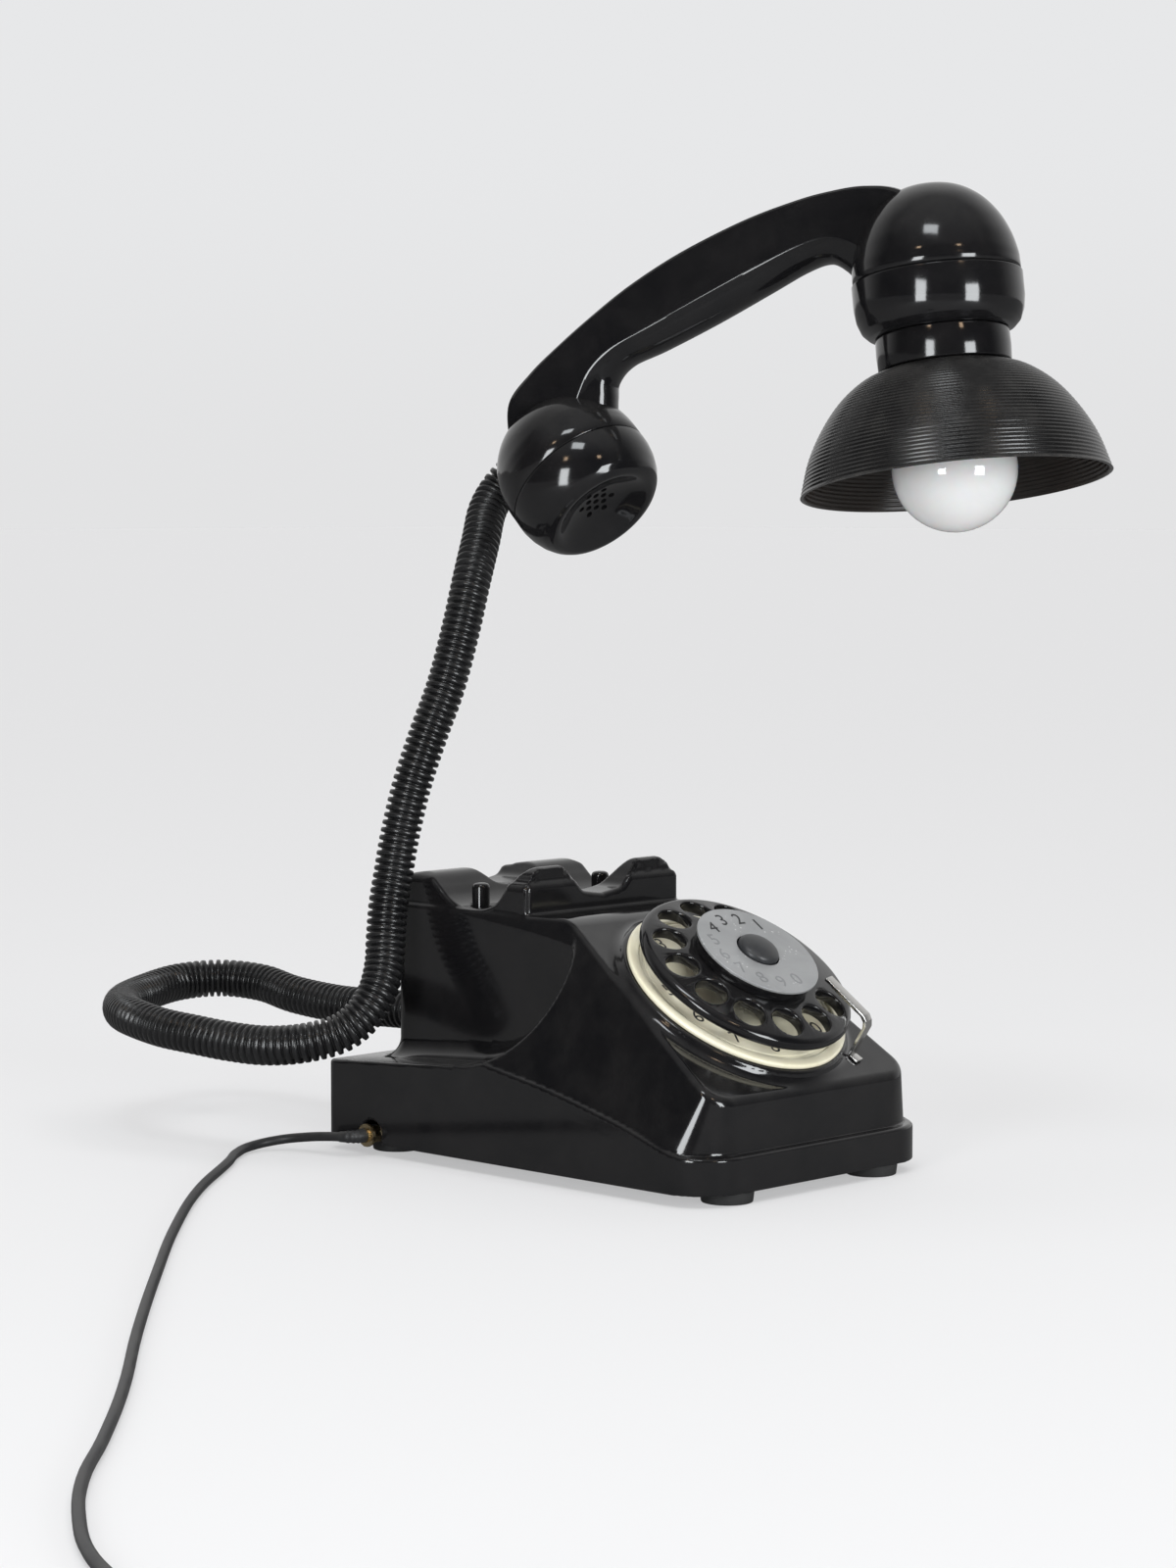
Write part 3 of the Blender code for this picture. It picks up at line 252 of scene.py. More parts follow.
def buildGrainGroup():   # handling marks and a moulded or sprayed surface's grain
    tree, given, result = startGroup("handledGrain", "ShaderNodeTree",
                                     [("Grain Scale", "NodeSocketFloat", 900.0), ("Smudge", "NodeSocketFloat", 0.1),
                                      ("Base Roughness", "NodeSocketFloat", 0.2)],
                                     [("Roughness", "NodeSocketFloat"), ("Height", "NodeSocketFloat"),
                                      ("Variation", "NodeSocketFloat")])
    place = addNode(tree, "ShaderNodeTexCoord").outputs["Object"]
    wipes = addNode(tree, "ShaderNodeTexNoise", {"Vector": place, "Scale": 38.0, "Detail": 6.0, "Roughness": 0.62,
                                                 "Distortion": 0.8})
    offset = addNode(tree, "ShaderNodeMath", {0: wipes.outputs["Fac"], 1: 0.5}, operation="SUBTRACT").outputs["Value"]
    spread = multiplied(tree, offset, given["Smudge"])
    rough = addNode(tree, "ShaderNodeMath", {0: given["Base Roughness"], 1: spread}, operation="ADD", use_clamp=True)
    grain = addNode(tree, "ShaderNodeTexNoise", {"Vector": place, "Scale": given["Grain Scale"], "Detail": 3.0})
    tree.links.new(rough.outputs["Value"], result.inputs["Roughness"])
    tree.links.new(grain.outputs["Fac"], result.inputs["Height"])
    tree.links.new(wipes.outputs["Fac"], result.inputs["Variation"])
    return tree


def buildWearGroup():   # rubbed edges: where the surface bends outwards and a coarse noise lets it show
    tree, given, result = startGroup("rubbedEdges", "ShaderNodeTree", [("Amount", "NodeSocketFloat", 0.5)],
                                     [("Wear", "NodeSocketFloat")])
    place = addNode(tree, "ShaderNodeTexCoord").outputs["Object"]
    bend = mapped(tree, addNode(tree, "ShaderNodeNewGeometry").outputs["Pointiness"], 0.52, 0.60)
    broken = addNode(tree, "ShaderNodeTexNoise", {"Vector": place, "Scale": 240.0, "Detail": 5.0})
    shown = multiplied(tree, bend, mapped(tree, broken.outputs["Fac"], 0.45, 0.65))
    tree.links.new(multiplied(tree, shown, given["Amount"]), result.inputs["Wear"])
    return tree


dustGroup, grainGroup, wearGroup = buildDustGroup(), buildGrainGroup(), buildWearGroup()


def blended(tree, factor, first, second):
    mix = addNode(tree, "ShaderNodeMix", {"Factor": factor}, data_type="RGBA")
    for index, colour in ((6, first), (7, second)):
        if hasattr(colour, "links"):
            tree.links.new(colour, mix.inputs[index])
        else:
            mix.inputs[index].default_value = (*colour, 1.0)
    return mix.outputs[2]


def makeFinish(name, colour, roughness, metal=0.0, grain=900.0, depth=0.00001, smudge=0.08, dust=0.1, wear=0.2,
               lighter=None, wornColour=(0.10, 0.10, 0.10), coat=0.0, specular=0.5):
    finish = bpy.data.materials.new(name)
    finish.use_nodes = True
    tree = finish.node_tree
    shader = tree.nodes["Principled BSDF"]
    grains = addNode(tree, "ShaderNodeGroup", node_tree=grainGroup)
    for label, value in (("Grain Scale", grain), ("Smudge", smudge), ("Base Roughness", roughness)):
        grains.inputs[label].default_value = value
    dusty = addNode(tree, "ShaderNodeGroup", node_tree=dustGroup)
    dusty.inputs["Amount"].default_value = dust
    worn = addNode(tree, "ShaderNodeGroup", node_tree=wearGroup)
    worn.inputs["Amount"].default_value = wear
    lighter = lighter or tuple(min(1.0, c * 1.35 + 0.002) for c in colour)
    toned = blended(tree, mapped(tree, grains.outputs["Variation"], 0.35, 0.7), colour, lighter)
    rubbed = blended(tree, worn.outputs["Wear"], toned, wornColour)
    veiled = blended(tree, dusty.outputs["Dust"], rubbed, (0.30, 0.29, 0.27))
    tree.links.new(blended(tree, dusty.outputs["Specks"], veiled, (0.55, 0.53, 0.50)), shader.inputs["Base Color"])
    addedRough = addNode(tree, "ShaderNodeMath", {0: grains.outputs["Roughness"], 1: dusty.outputs["Dust"]},
                         operation="ADD", use_clamp=True)
    tree.links.new(addedRough.outputs["Value"], shader.inputs["Roughness"])
    bump = addNode(tree, "ShaderNodeBump", {"Strength": 1.0, "Distance": depth, "Height": grains.outputs["Height"]})
    tree.links.new(bump.outputs["Normal"], shader.inputs["Normal"])
    shader.inputs["Metallic"].default_value = metal
    shader.inputs["Coat Weight"].default_value = coat
    shader.inputs["Specular IOR Level"].default_value = specular
    return finish


bakelite = makeFinish("blackBakelite", (0.0055, 0.0055, 0.0062), 0.10, smudge=0.10, dust=0.035, wear=0.10,
                      grain=700.0,
                      depth=0.000004, lighter=(0.009, 0.0085, 0.009), wornColour=(0.05, 0.045, 0.04), specular=0.55)
satinBlack = makeFinish("satinBlackPlastic", (0.012, 0.012, 0.013), 0.36, smudge=0.12, dust=0.08)
hoseBlack = makeFinish("hoseBlack", (0.0065, 0.0065, 0.007), 0.26, smudge=0.12, dust=0.05, wear=0.25, grain=1400.0,
                       depth=0.00002, wornColour=(0.05, 0.05, 0.05))
creamPlastic = makeFinish("creamPlastic", (0.80, 0.75, 0.55), 0.28, smudge=0.10, dust=0.05, wear=0.25,
                          lighter=(0.86, 0.82, 0.66), wornColour=(0.46, 0.38, 0.22), depth=0.000006)
darkKnob = makeFinish("darkGreyKnob", (0.018, 0.019, 0.021), 0.36, smudge=0.14, dust=0.12, wear=0.3, grain=1600.0,
                      depth=0.00002, wornColour=(0.16, 0.16, 0.16))
brightSteel = makeFinish("brightStrip", (0.62, 0.61, 0.59), 0.22, metal=1.0, smudge=0.22, dust=0.05, wear=0.2,
                         grain=1800.0, depth=0.00001, lighter=(0.74, 0.73, 0.71), wornColour=(0.42, 0.38, 0.33))
plainSteel = makeFinish("plainSteel", (0.40, 0.40, 0.41), 0.38, metal=1.0, smudge=0.2, dust=0.12, wear=0.3,
                        grain=1200.0, depth=0.00002, wornColour=(0.62, 0.61, 0.60))
zincedPlate = makeFinish("zincedPlate", (0.34, 0.35, 0.36), 0.46, metal=1.0, smudge=0.25, dust=0.15, wear=0.4,
                         grain=500.0, depth=0.00003, lighter=(0.46, 0.46, 0.45), wornColour=(0.55, 0.55, 0.54))
castIron = makeFinish("castIron", (0.09, 0.09, 0.10), 0.62, metal=0.8, smudge=0.2, dust=0.3, wear=0.5, grain=420.0,
                      depth=0.00025)
oldBrass = makeFinish("nickelledBrass", (0.55, 0.44, 0.27), 0.26, metal=1.0, smudge=0.2, dust=0.08, wear=0.4,
                      wornColour=(0.66, 0.49, 0.22))
drawnAluminium = makeFinish("drawnAluminium", (0.62, 0.62, 0.63), 0.32, metal=1.0, smudge=0.16, dust=0.08, wear=0.2,
                            wornColour=(0.75, 0.75, 0.76))
footRubber = makeFinish("footRubber", (0.016, 0.016, 0.016), 0.72, smudge=0.12, dust=0.25, grain=1100.0,
                        depth=0.00006)
cordSheath = makeFinish("cordSheath", (0.014, 0.014, 0.015), 0.46, smudge=0.12, dust=0.10, wear=0.1, grain=2200.0,
                        depth=0.00002)
paleBlock = makeFinish("paleBlock", (0.62, 0.60, 0.52), 0.45, smudge=0.1, dust=0.2)
printInk = makeFinish("printInk", (0.012, 0.012, 0.013), 0.5, smudge=0.1, dust=0.02, wear=0.0)
rubbedInk = makeFinish("rubbedInk", (0.165, 0.168, 0.172), 0.45, smudge=0.2, dust=0.02, wear=0.0)
deepBlack = makeFinish("holderBlack", (0.010, 0.010, 0.011), 0.28, smudge=0.1, dust=0.05)


def buildShadeFinish(name, colour, roughness, lighter):   # lacquered spun metal: fine rings about the shade's axis
    finish = makeFinish(name, colour, roughness, smudge=0.10, dust=0.07, wear=0.15, lighter=lighter,
                        wornColour=(0.16, 0.14, 0.12), specular=0.5)
    tree = finish.node_tree
    bump = next(n for n in tree.nodes if n.type == "BUMP")
    place = addNode(tree, "ShaderNodeTexCoord").outputs["Object"]
    turn = earPlace.inverted()
    own = addNode(tree, "ShaderNodeMapping", {"Vector": place, "Location": turn.to_translation(),
                                              "Rotation": turn.to_euler("XYZ")})
    rings = addNode(tree, "ShaderNodeTexWave", {"Vector": own.outputs["Vector"], "Scale": 260.0, "Distortion": 0.35,
                                                "Detail": 2.0, "Detail Scale": 3.0}, bands_direction="Z")
    scored = addNode(tree, "ShaderNodeBump", {"Strength": 0.5, "Distance": 0.00003, "Height": rings.outputs["Fac"],
                                              "Normal": bump.outputs["Normal"]})
    tree.links.new(scored.outputs["Normal"], tree.nodes["Principled BSDF"].inputs["Normal"])
    return finish


shadeOutside = buildShadeFinish("spunShadeOutside", (0.0055, 0.0054, 0.0056), 0.25, (0.0085, 0.008, 0.008))
shadeInside = buildShadeFinish("spunShadeInside", (0.012, 0.0095, 0.008), 0.32, (0.020, 0.015, 0.012))


def buildDiscFinish():   # a satin grey printed disc, peppered with tiny pale chips
    finish = makeFinish("greyDisc", (0.30, 0.305, 0.31), 0.40, metal=0.35, smudge=0.12, dust=0.05, wear=0.3,
                        lighter=(0.37, 0.375, 0.38), wornColour=(0.6, 0.6, 0.6), grain=2600.0, depth=0.000008)
    tree = finish.node_tree
    shader = tree.nodes["Principled BSDF"]
    place = addNode(tree, "ShaderNodeTexCoord").outputs["Object"]
    cells = addNode(tree, "ShaderNodeTexVoronoi", {"Vector": place, "Scale": 620.0})
    thin = addNode(tree, "ShaderNodeTexNoise", {"Vector": place, "Scale": 110.0, "Detail": 2.0})
    chip = mapped(tree, cells.outputs["Distance"], 0.26, 0.16)
    shown = multiplied(tree, chip, mapped(tree, thin.outputs["Fac"], 0.55, 0.62))
    base = shader.inputs["Base Color"].links[0].from_socket
    tree.links.new(blended(tree, shown, base, (0.72, 0.72, 0.72)), shader.inputs["Base Color"])
    return finish


def buildBulbFinish():   # opal glass: white, slightly milky, with a hard gloss
    finish = makeFinish("opalGlass", (0.66, 0.66, 0.655), 0.07, smudge=0.03, dust=0.04, wear=0.0,
                        lighter=(0.70, 0.70, 0.695), depth=0.000002, coat=0.6, specular=0.6)
    shader = finish.node_tree.nodes["Principled BSDF"]
    shader.inputs["Subsurface Weight"].default_value = 0.25
    shader.inputs["Subsurface Scale"].default_value = 0.008
    shader.inputs["Coat Roughness"].default_value = 0.03
    return finish


greyDisc, opalGlass = buildDiscFinish(), buildBulbFinish()
print("finishes mixed")
def keepPiece(name, mesh, body, finish, replaced=(), sharp=None):
    if finish:
        mesh.materials.clear()
        for one in finish if isinstance(finish, (list, tuple)) else [finish]:
            mesh.materials.append(one)
    if sharp is not None:
        mesh.shade_smooth()
        mesh.set_sharp_from_angle(angle=math.radians(sharp))
    mesh.name = name
    piece = bpy.data.objects.new(name, mesh)
    bpy.context.collection.objects.link(piece)
    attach(piece, body)
    if replaced:
        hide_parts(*replaced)
    return piece


def meshOf(name, points, faces, place=None):
    mesh = bpy.data.meshes.new(name)
    mesh.from_pydata([tuple(p) for p in points], [], faces)
    if place:
        mesh.transform(place)
    shape = bmesh.new()
    shape.from_mesh(mesh)
    bmesh.ops.remove_doubles(shape, verts=shape.verts, dist=1e-7)
    bmesh.ops.recalc_face_normals(shape, faces=shape.faces)
    shape.to_mesh(mesh)
    shape.free()
    return mesh


def softened(outline, radius, steps=3):   # an outline with its corners rounded; its ends on the axis stay
    count = len(outline)
    openEnds = outline[0][0] == 0.0 and outline[-1][0] == 0.0
    rounded = []
    for i, corner in enumerate(outline):
        if openEnds and i in (0, count - 1):
            rounded.append(corner)
            continue
        here = Vector(corner)
        before, after = Vector(outline[i - 1]) - here, Vector(outline[(i + 1) % count]) - here
        cut = min(radius, before.length * 0.45, after.length * 0.45)
        if before.normalized().dot(after.normalized()) < -0.97:
            rounded.append(corner)
            continue
        start, end = here + before.normalized() * cut, here + after.normalized() * cut
        for k in range(steps + 1):
            t = k / steps
            rounded.append(tuple(start * (1 - t) ** 2 + here * (2 * t * (1 - t)) + end * t * t))
    return rounded


def flowing(points, steps=6):   # a smooth line through points
    points = [Vector(p) for p in points]
    ends = [points[0] * 2 - points[1]] + points + [points[-1] * 2 - points[-2]]
    line = []
    for i in range(1, len(ends) - 2):
        a, b, c, d = ends[i - 1:i + 3]
        for k in range(steps):
            t = k / steps
            line.append(0.5 * (2 * b + (c - a) * t + (2 * a - 5 * b + 4 * c - d) * t * t
                               + (3 * b - a - 3 * c + d) * t ** 3))
    return [tuple(p) for p in line] + [tuple(points[-1])]


def latheMesh(name, outline, place=None, segments=96, fluting=None):   # outline of (radius, height) turned about Z
    points, rows = [], []
    for radius, height in outline:
        if radius == 0.0:
            rows.append([len(points)] * segments)
            points.append((0.0, 0.0, height))
            continue
        rows.append(list(range(len(points), len(points) + segments)))
        for k in range(segments):
            angle = 2.0 * math.pi * k / segments
            r = radius * (fluting(angle, radius, height) if fluting else 1.0)
            points.append((r * math.cos(angle), r * math.sin(angle), height))
    closed = not (outline[0][0] == 0.0 and outline[-1][0] == 0.0)
    faces = []
    for i in range(len(rows) if closed else len(rows) - 1):
        low, high = rows[i], rows[(i + 1) % len(rows)]
        for k in range(segments):
            n = (k + 1) % segments
            corners = list(dict.fromkeys([low[k], low[n], high[n], high[k]]))
            if len(corners) > 2:
                faces.append(corners)
    return meshOf(name, points, faces, place)


def latheSteps(name, outline, place, finish, body, replaced, segments=96, soft=0.0005, sharp=55,
               fluting=None):
    outline = softened(outline, soft) if soft else outline
    return keepPiece(name, latheMesh(name, outline, place, segments, fluting), body, finish, replaced,
                     sharp)


def bakedMesh(thing):   # the evaluated shape as a plain mesh; the helper object goes away
    shape = bpy.data.meshes.new_from_object(thing.evaluated_get(bpy.context.evaluated_depsgraph_get()))
    source = thing.data
    bpy.data.objects.remove(thing)
    if isinstance(source, bpy.types.Mesh):
        bpy.data.meshes.remove(source)
    return shape


def helperOf(name, mesh):
    thing = bpy.data.objects.new(name, mesh)
    bpy.context.collection.objects.link(thing)
    return thing


def runTree(thing, tree, **given):   # puts a Geometry Nodes tree on an object with its named inputs
    step = thing.modifiers.new(tree.name, "NODES")
    step.node_group = tree
    for socket in tree.interface.items_tree:
        if socket.in_out == "INPUT" and socket.name in given:
            step[socket.identifier] = given[socket.name]
    return thing


def closeTree(tree, result, geometry, finishSocket):   # every tree ends the same way
    plain = addNode(tree, "GeometryNodeRealizeInstances", {"Geometry": geometry})
    painted = addNode(tree, "GeometryNodeSetMaterial", {"Geometry": plain.outputs[0], "Material": finishSocket})
    tree.links.new(painted.outputs[0], result.inputs["Geometry"])


# mains cord, its coil, strain relief and plug
cordLead = {"diameter": 0.0042, "outerTurn": 0.0294, "turnsPerLayer": 2.5, "climbTurns": 0.25, "lastTurns": 0.683,
            "pointsPerTurn": 14, "floor": 0.0003}
coilMiddle = frameShift + Vector((-0.5848, -0.4596, 0.0))
cordRoute = [
    (-0.0797, 0.0834, 0.0092), (-0.0838, 0.0885, 0.0088), (-0.0855, 0.0985, 0.0080), (-0.0872, 0.1115, 0.0064),
    (-0.0935, 0.1235, 0.0044), (-0.1060, 0.1270, 0.0028), (-0.1210, 0.1195, 0.0024), (-0.1380, 0.1050, 0.0024),
    (-0.1900, 0.0630, 0.0024), (-0.2474, 0.0086, 0.0024), (-0.3150, -0.0614, 0.0024), (-0.3845, -0.1356, 0.0024),
    (-0.4438, -0.2012, 0.0024), (-0.4892, -0.2479, 0.0024), (-0.5240, -0.2820, 0.0024), (-0.5520, -0.3160, 0.0024),
    (-0.5720, -0.3460, 0.0024), (-0.5840, -0.3720, 0.0024), (-0.5940, -0.3980, 0.0024), (-0.6045, -0.4240, 0.0024),
]
entryAngle = math.radians(158.3)   # where the cord meets the coil


def coilPoints():   # three layers of turns, wound inwards, outwards, and the last part turn on top
    step = cordLead["diameter"]
    low = cordLead["floor"] + step / 2.0
    outer = cordLead["outerTurn"]
    inner = outer - step * cordLead["turnsPerLayer"]
    stages = [(outer, inner, low, low, cordLead["turnsPerLayer"]),
              (inner, inner, low, low + step, cordLead["climbTurns"]),
              (inner, outer, low + step, low + step, cordLead["turnsPerLayer"]),
              (outer, outer, low + step, low + 2 * step, cordLead["climbTurns"]),
              (outer, outer, low + 2 * step, low + 2 * step, cordLead["lastTurns"])]
    points, angle = [], entryAngle
    for startRadius, endRadius, startHeight, endHeight, turns in stages:
        count = max(3, round(turns * cordLead["pointsPerTurn"]))
        for k in range(count):
            t = k / count
            radius = startRadius + (endRadius - startRadius) * t
            height = startHeight + (endHeight - startHeight) * t
            a = angle + 2.0 * math.pi * turns * t
            points.append(coilMiddle + Vector((radius * math.cos(a), radius * math.sin(a), height)))
        angle += 2.0 * math.pi * turns
    return points, angle


def buildCord():
    route = [frameShift + Vector(p) for p in cordRoute]
    turns, angle = coilPoints()
    heading = Vector((-math.sin(angle), math.cos(angle), 0.0))
    outwards = Vector((math.cos(angle), math.sin(angle), 0.0))
    leaves = coilMiddle + outwards * cordLead["outerTurn"]
    tops = cordLead["floor"] + cordLead["diameter"] * 2.5
    lead = [leaves + Vector((0, 0, tops)), leaves + heading * 0.0125 + Vector((0, 0, 0.0088)),
            leaves + heading * 0.0270 + Vector((0, 0, 0.0067))]
    points = route + turns + lead
    curve = bpy.data.curves.new("mainsCord", "CURVE")
    curve.dimensions = "3D"
    curve.bevel_depth = cordLead["diameter"] / 2.0
    curve.bevel_resolution = 4
    curve.use_fill_caps = True
    curve.resolution_u = 5
    spline = curve.splines.new("BEZIER")
    spline.bezier_points.add(len(points) - 1)
    for knot, point in zip(spline.bezier_points, points):
        knot.co = point
        knot.handle_left_type = knot.handle_right_type = "AUTO"
    curve.materials.append(cordSheath)
    cord = bpy.data.objects.new("mainsCord", curve)
    bpy.context.collection.objects.link(cord)
    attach(cord, "base")
    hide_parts("cord", "cord_coil")
    return cord, leaves, heading


def tubeAlong(name, line, radii, sides=32):   # a round sleeve along a line, closed at both ends
    points, faces = [], []
    for i, here in enumerate(line):
        ahead = (line[min(i + 1, len(line) - 1)] - line[max(i - 1, 0)]).normalized()
        turn = ahead.to_track_quat("Z", "Y").to_matrix()
        for k in range(sides):
            a = 2.0 * math.pi * k / sides
            points.append(here + turn @ Vector((radii[i] * math.cos(a), radii[i] * math.sin(a), 0.0)))
    for i in range(len(line) - 1):
        for k in range(sides):
            n = (k + 1) % sides
            faces.append([i * sides + k, i * sides + n, (i + 1) * sides + n, (i + 1) * sides + k])
    faces += [list(range(sides)), list(range((len(line) - 1) * sides, len(line) * sides))]
    return meshOf(name, points, faces)


def buildStrainRelief():   # a ribbed tapered sleeve that follows the cord out of its notch
    inside = frameShift + Vector((-0.0660, 0.0869, 0.0092))
    line = flowing([inside, frameShift + Vector((-0.0715, 0.0870,
                                                 0.0092))] + [frameShift + Vector(p) for p in cordRoute[:4]], 12)
    line = [Vector(p) for p in line]
    kept, travelled, radii = [line[0]], 0.0, [0.0036]
    for before, here in zip(line, line[1:]):
        travelled += (here - before).length
        if travelled > 0.0245:
            break
        ribs = 0.00022 if int(travelled / 0.0011) % 2 == 0 and 0.008 < travelled < 0.022 else 0.0
        kept.append(here)
        radii.append(0.0036 - 0.0012 * travelled / 0.0245 + ribs)
    return keepPiece("strainRelief", tubeAlong("strainRelief", kept, radii), "base", cordSheath, (), 50)


plug = {"height": 0.0067, "pinSpread": 0.0093, "sides": 48, "ribDepth": 0.00035, "ribPitch": 0.0022,
        "grip": (0.0410, 0.0585),
        "squareness": 0.55}


def buildPlug(leaves, heading):   # a flat moulded two-pin plug with finger ribs and insulated pins
    across = Vector((0, 0, 1)).cross(heading)
    frameOf = Matrix((heading, across, Vector((0, 0, 1)))).transposed().to_4x4()
    place = Matrix.Translation((leaves.x, leaves.y, plug["height"])) @ frameOf
    stations = [(0.0246, 0.0030, 0.0030), (0.0290, 0.0036, 0.0034), (0.0300, 0.0052, 0.0046),
                (0.0350, 0.0088, 0.0056),
                (0.0410, 0.0128, 0.0061), (0.0460, 0.0148, 0.0062), (0.0520, 0.0143, 0.0060),
                (0.0590, 0.0146, 0.0062),
                (0.0633, 0.0147, 0.0062), (0.0640, 0.0140, 0.0056)]
    sides, rings = plug["sides"], []
    gripStart, gripEnd = plug["grip"]
    dense = flowing(stations[2:], 8)
    dense = [tuple(s) for s in stations[:2]] + dense
    for x, wide, thick in dense:
        ribbed = gripStart < x < gripEnd
        rib = plug["ribDepth"] * max(0.0, math.sin((x - gripStart) / plug["ribPitch"] * math.pi)) if ribbed else 0.0
        ring = []
        for k in range(sides):
            a = 2.0 * math.pi * k / sides
            c, s = math.cos(a), math.sin(a)
            y = math.copysign(abs(c) ** plug["squareness"], c) * (wide - rib * (abs(c) > 0.5))
            z = math.copysign(abs(s) ** plug["squareness"], s) * thick
            ring.append((x, y, z))
        rings.append(ring)
    points = [p for ring in rings for p in ring]
    faces = [[i * sides + k, i * sides + (k + 1) % sides, (i + 1) * sides + (k + 1) % sides, (i + 1) * sides + k]
             for i in range(len(rings) - 1) for k in range(sides)]
    faces += [list(range(sides)), list(range((len(rings) - 1) * sides, len(rings) * sides))]
    body = keepPiece("plugBody", meshOf("plugBody", points, faces, place), "base", cordSheath, ("plug",), 50)
    made = [body]
    for side, name in ((-1, "Left"), (1, "Right")):
        start = place @ turnedTo((0.0, side * plug["pinSpread"], 0.0), (1, 0, 0))
        sleeve = [(0.0, 0.0600), (0.0019, 0.0600), (0.0019, 0.0735), (0.0, 0.0735)]
        pin = [(0.0, 0.0734), (0.0020, 0.0734), (0.0020, 0.0818), (0.0013, 0.0829), (0.0, 0.0830)]
        made.append(latheSteps("pinSleeve" + name, sleeve, start, satinBlack, "base", (), 32, 0.0001))
        made.append(latheSteps("pin" + name, pin, start, oldBrass, "base", (), 32, 0.0005))
    return made


mainsCord, cordLeaves, cordHeading = buildCord()
cordEnds = [buildStrainRelief()] + buildPlug(cordLeaves, cordHeading)
print("cord laid")


# Geometry Nodes trees for what repeats
def buildHoseTree():   # square-shouldered rings along a curve
    tree, given, result = startGroup("corrugatedHose", "GeometryNodeTree",
                                     [("Geometry", "NodeSocketGeometry", None),
                                      ("Ring Pitch", "NodeSocketFloat", 0.0033),
                                      ("Ring Radius", "NodeSocketFloat", 0.0088),
                                      ("Groove Radius", "NodeSocketFloat", 0.0074),
                                      ("Sides", "NodeSocketInt", 24), ("Finish", "NodeSocketMaterial", None)],
                                     [("Geometry", "NodeSocketGeometry")])
    stretch = addNode(tree, "GeometryNodeCurveLength", {0: given["Geometry"]}).outputs[0]
    rings = addNode(tree, "ShaderNodeMath", {0: stretch, 1: given["Ring Pitch"]}, operation="DIVIDE").outputs[0]
    whole = addNode(tree, "ShaderNodeMath", {0: rings}, operation="ROUND").outputs[0]
    count = addNode(tree, "ShaderNodeMath", {0: whole, 1: 8.0}, operation="MULTIPLY").outputs[0]
    points = addNode(tree, "ShaderNodeMath", {0: count, 1: 1.0}, operation="ADD").outputs[0]
    spaced = addNode(tree, "GeometryNodeResampleCurve", {"Curve": given["Geometry"], "Count": points})
    index = addNode(tree, "GeometryNodeInputIndex").outputs[0]
    turn = addNode(tree, "ShaderNodeMath", {0: index, 1: 8.0}, operation="MODULO").outputs[0]
    away = addNode(tree, "ShaderNodeMath", {0: turn, 1: 4.0}, operation="SUBTRACT").outputs[0]
    away = addNode(tree, "ShaderNodeMath", {0: away}, operation="ABSOLUTE").outputs[0]   # 4 in a groove, 0 on a ring
    level = addNode(tree, "ShaderNodeMapRange", {"Value": away, "From Min": 1.9, "From Max": 2.9,
                                                 "To Min": given["Ring Radius"],
                                                 "To Max": given["Groove Radius"]}).outputs["Result"]
    circle = addNode(tree, "GeometryNodeCurvePrimitiveCircle", {"Resolution": given["Sides"], "Radius": 1.0})
    sleeve = addNode(tree, "GeometryNodeCurveToMesh", {"Curve": spaced.outputs[0], "Profile Curve": circle.outputs[0],
                                                       "Scale": level, "Fill Caps": True})
    smooth = addNode(tree, "GeometryNodeSetShadeSmooth", {"Geometry": sleeve.outputs[0]})
    closeTree(tree, result, smooth.outputs[0], given["Finish"])
    return tree


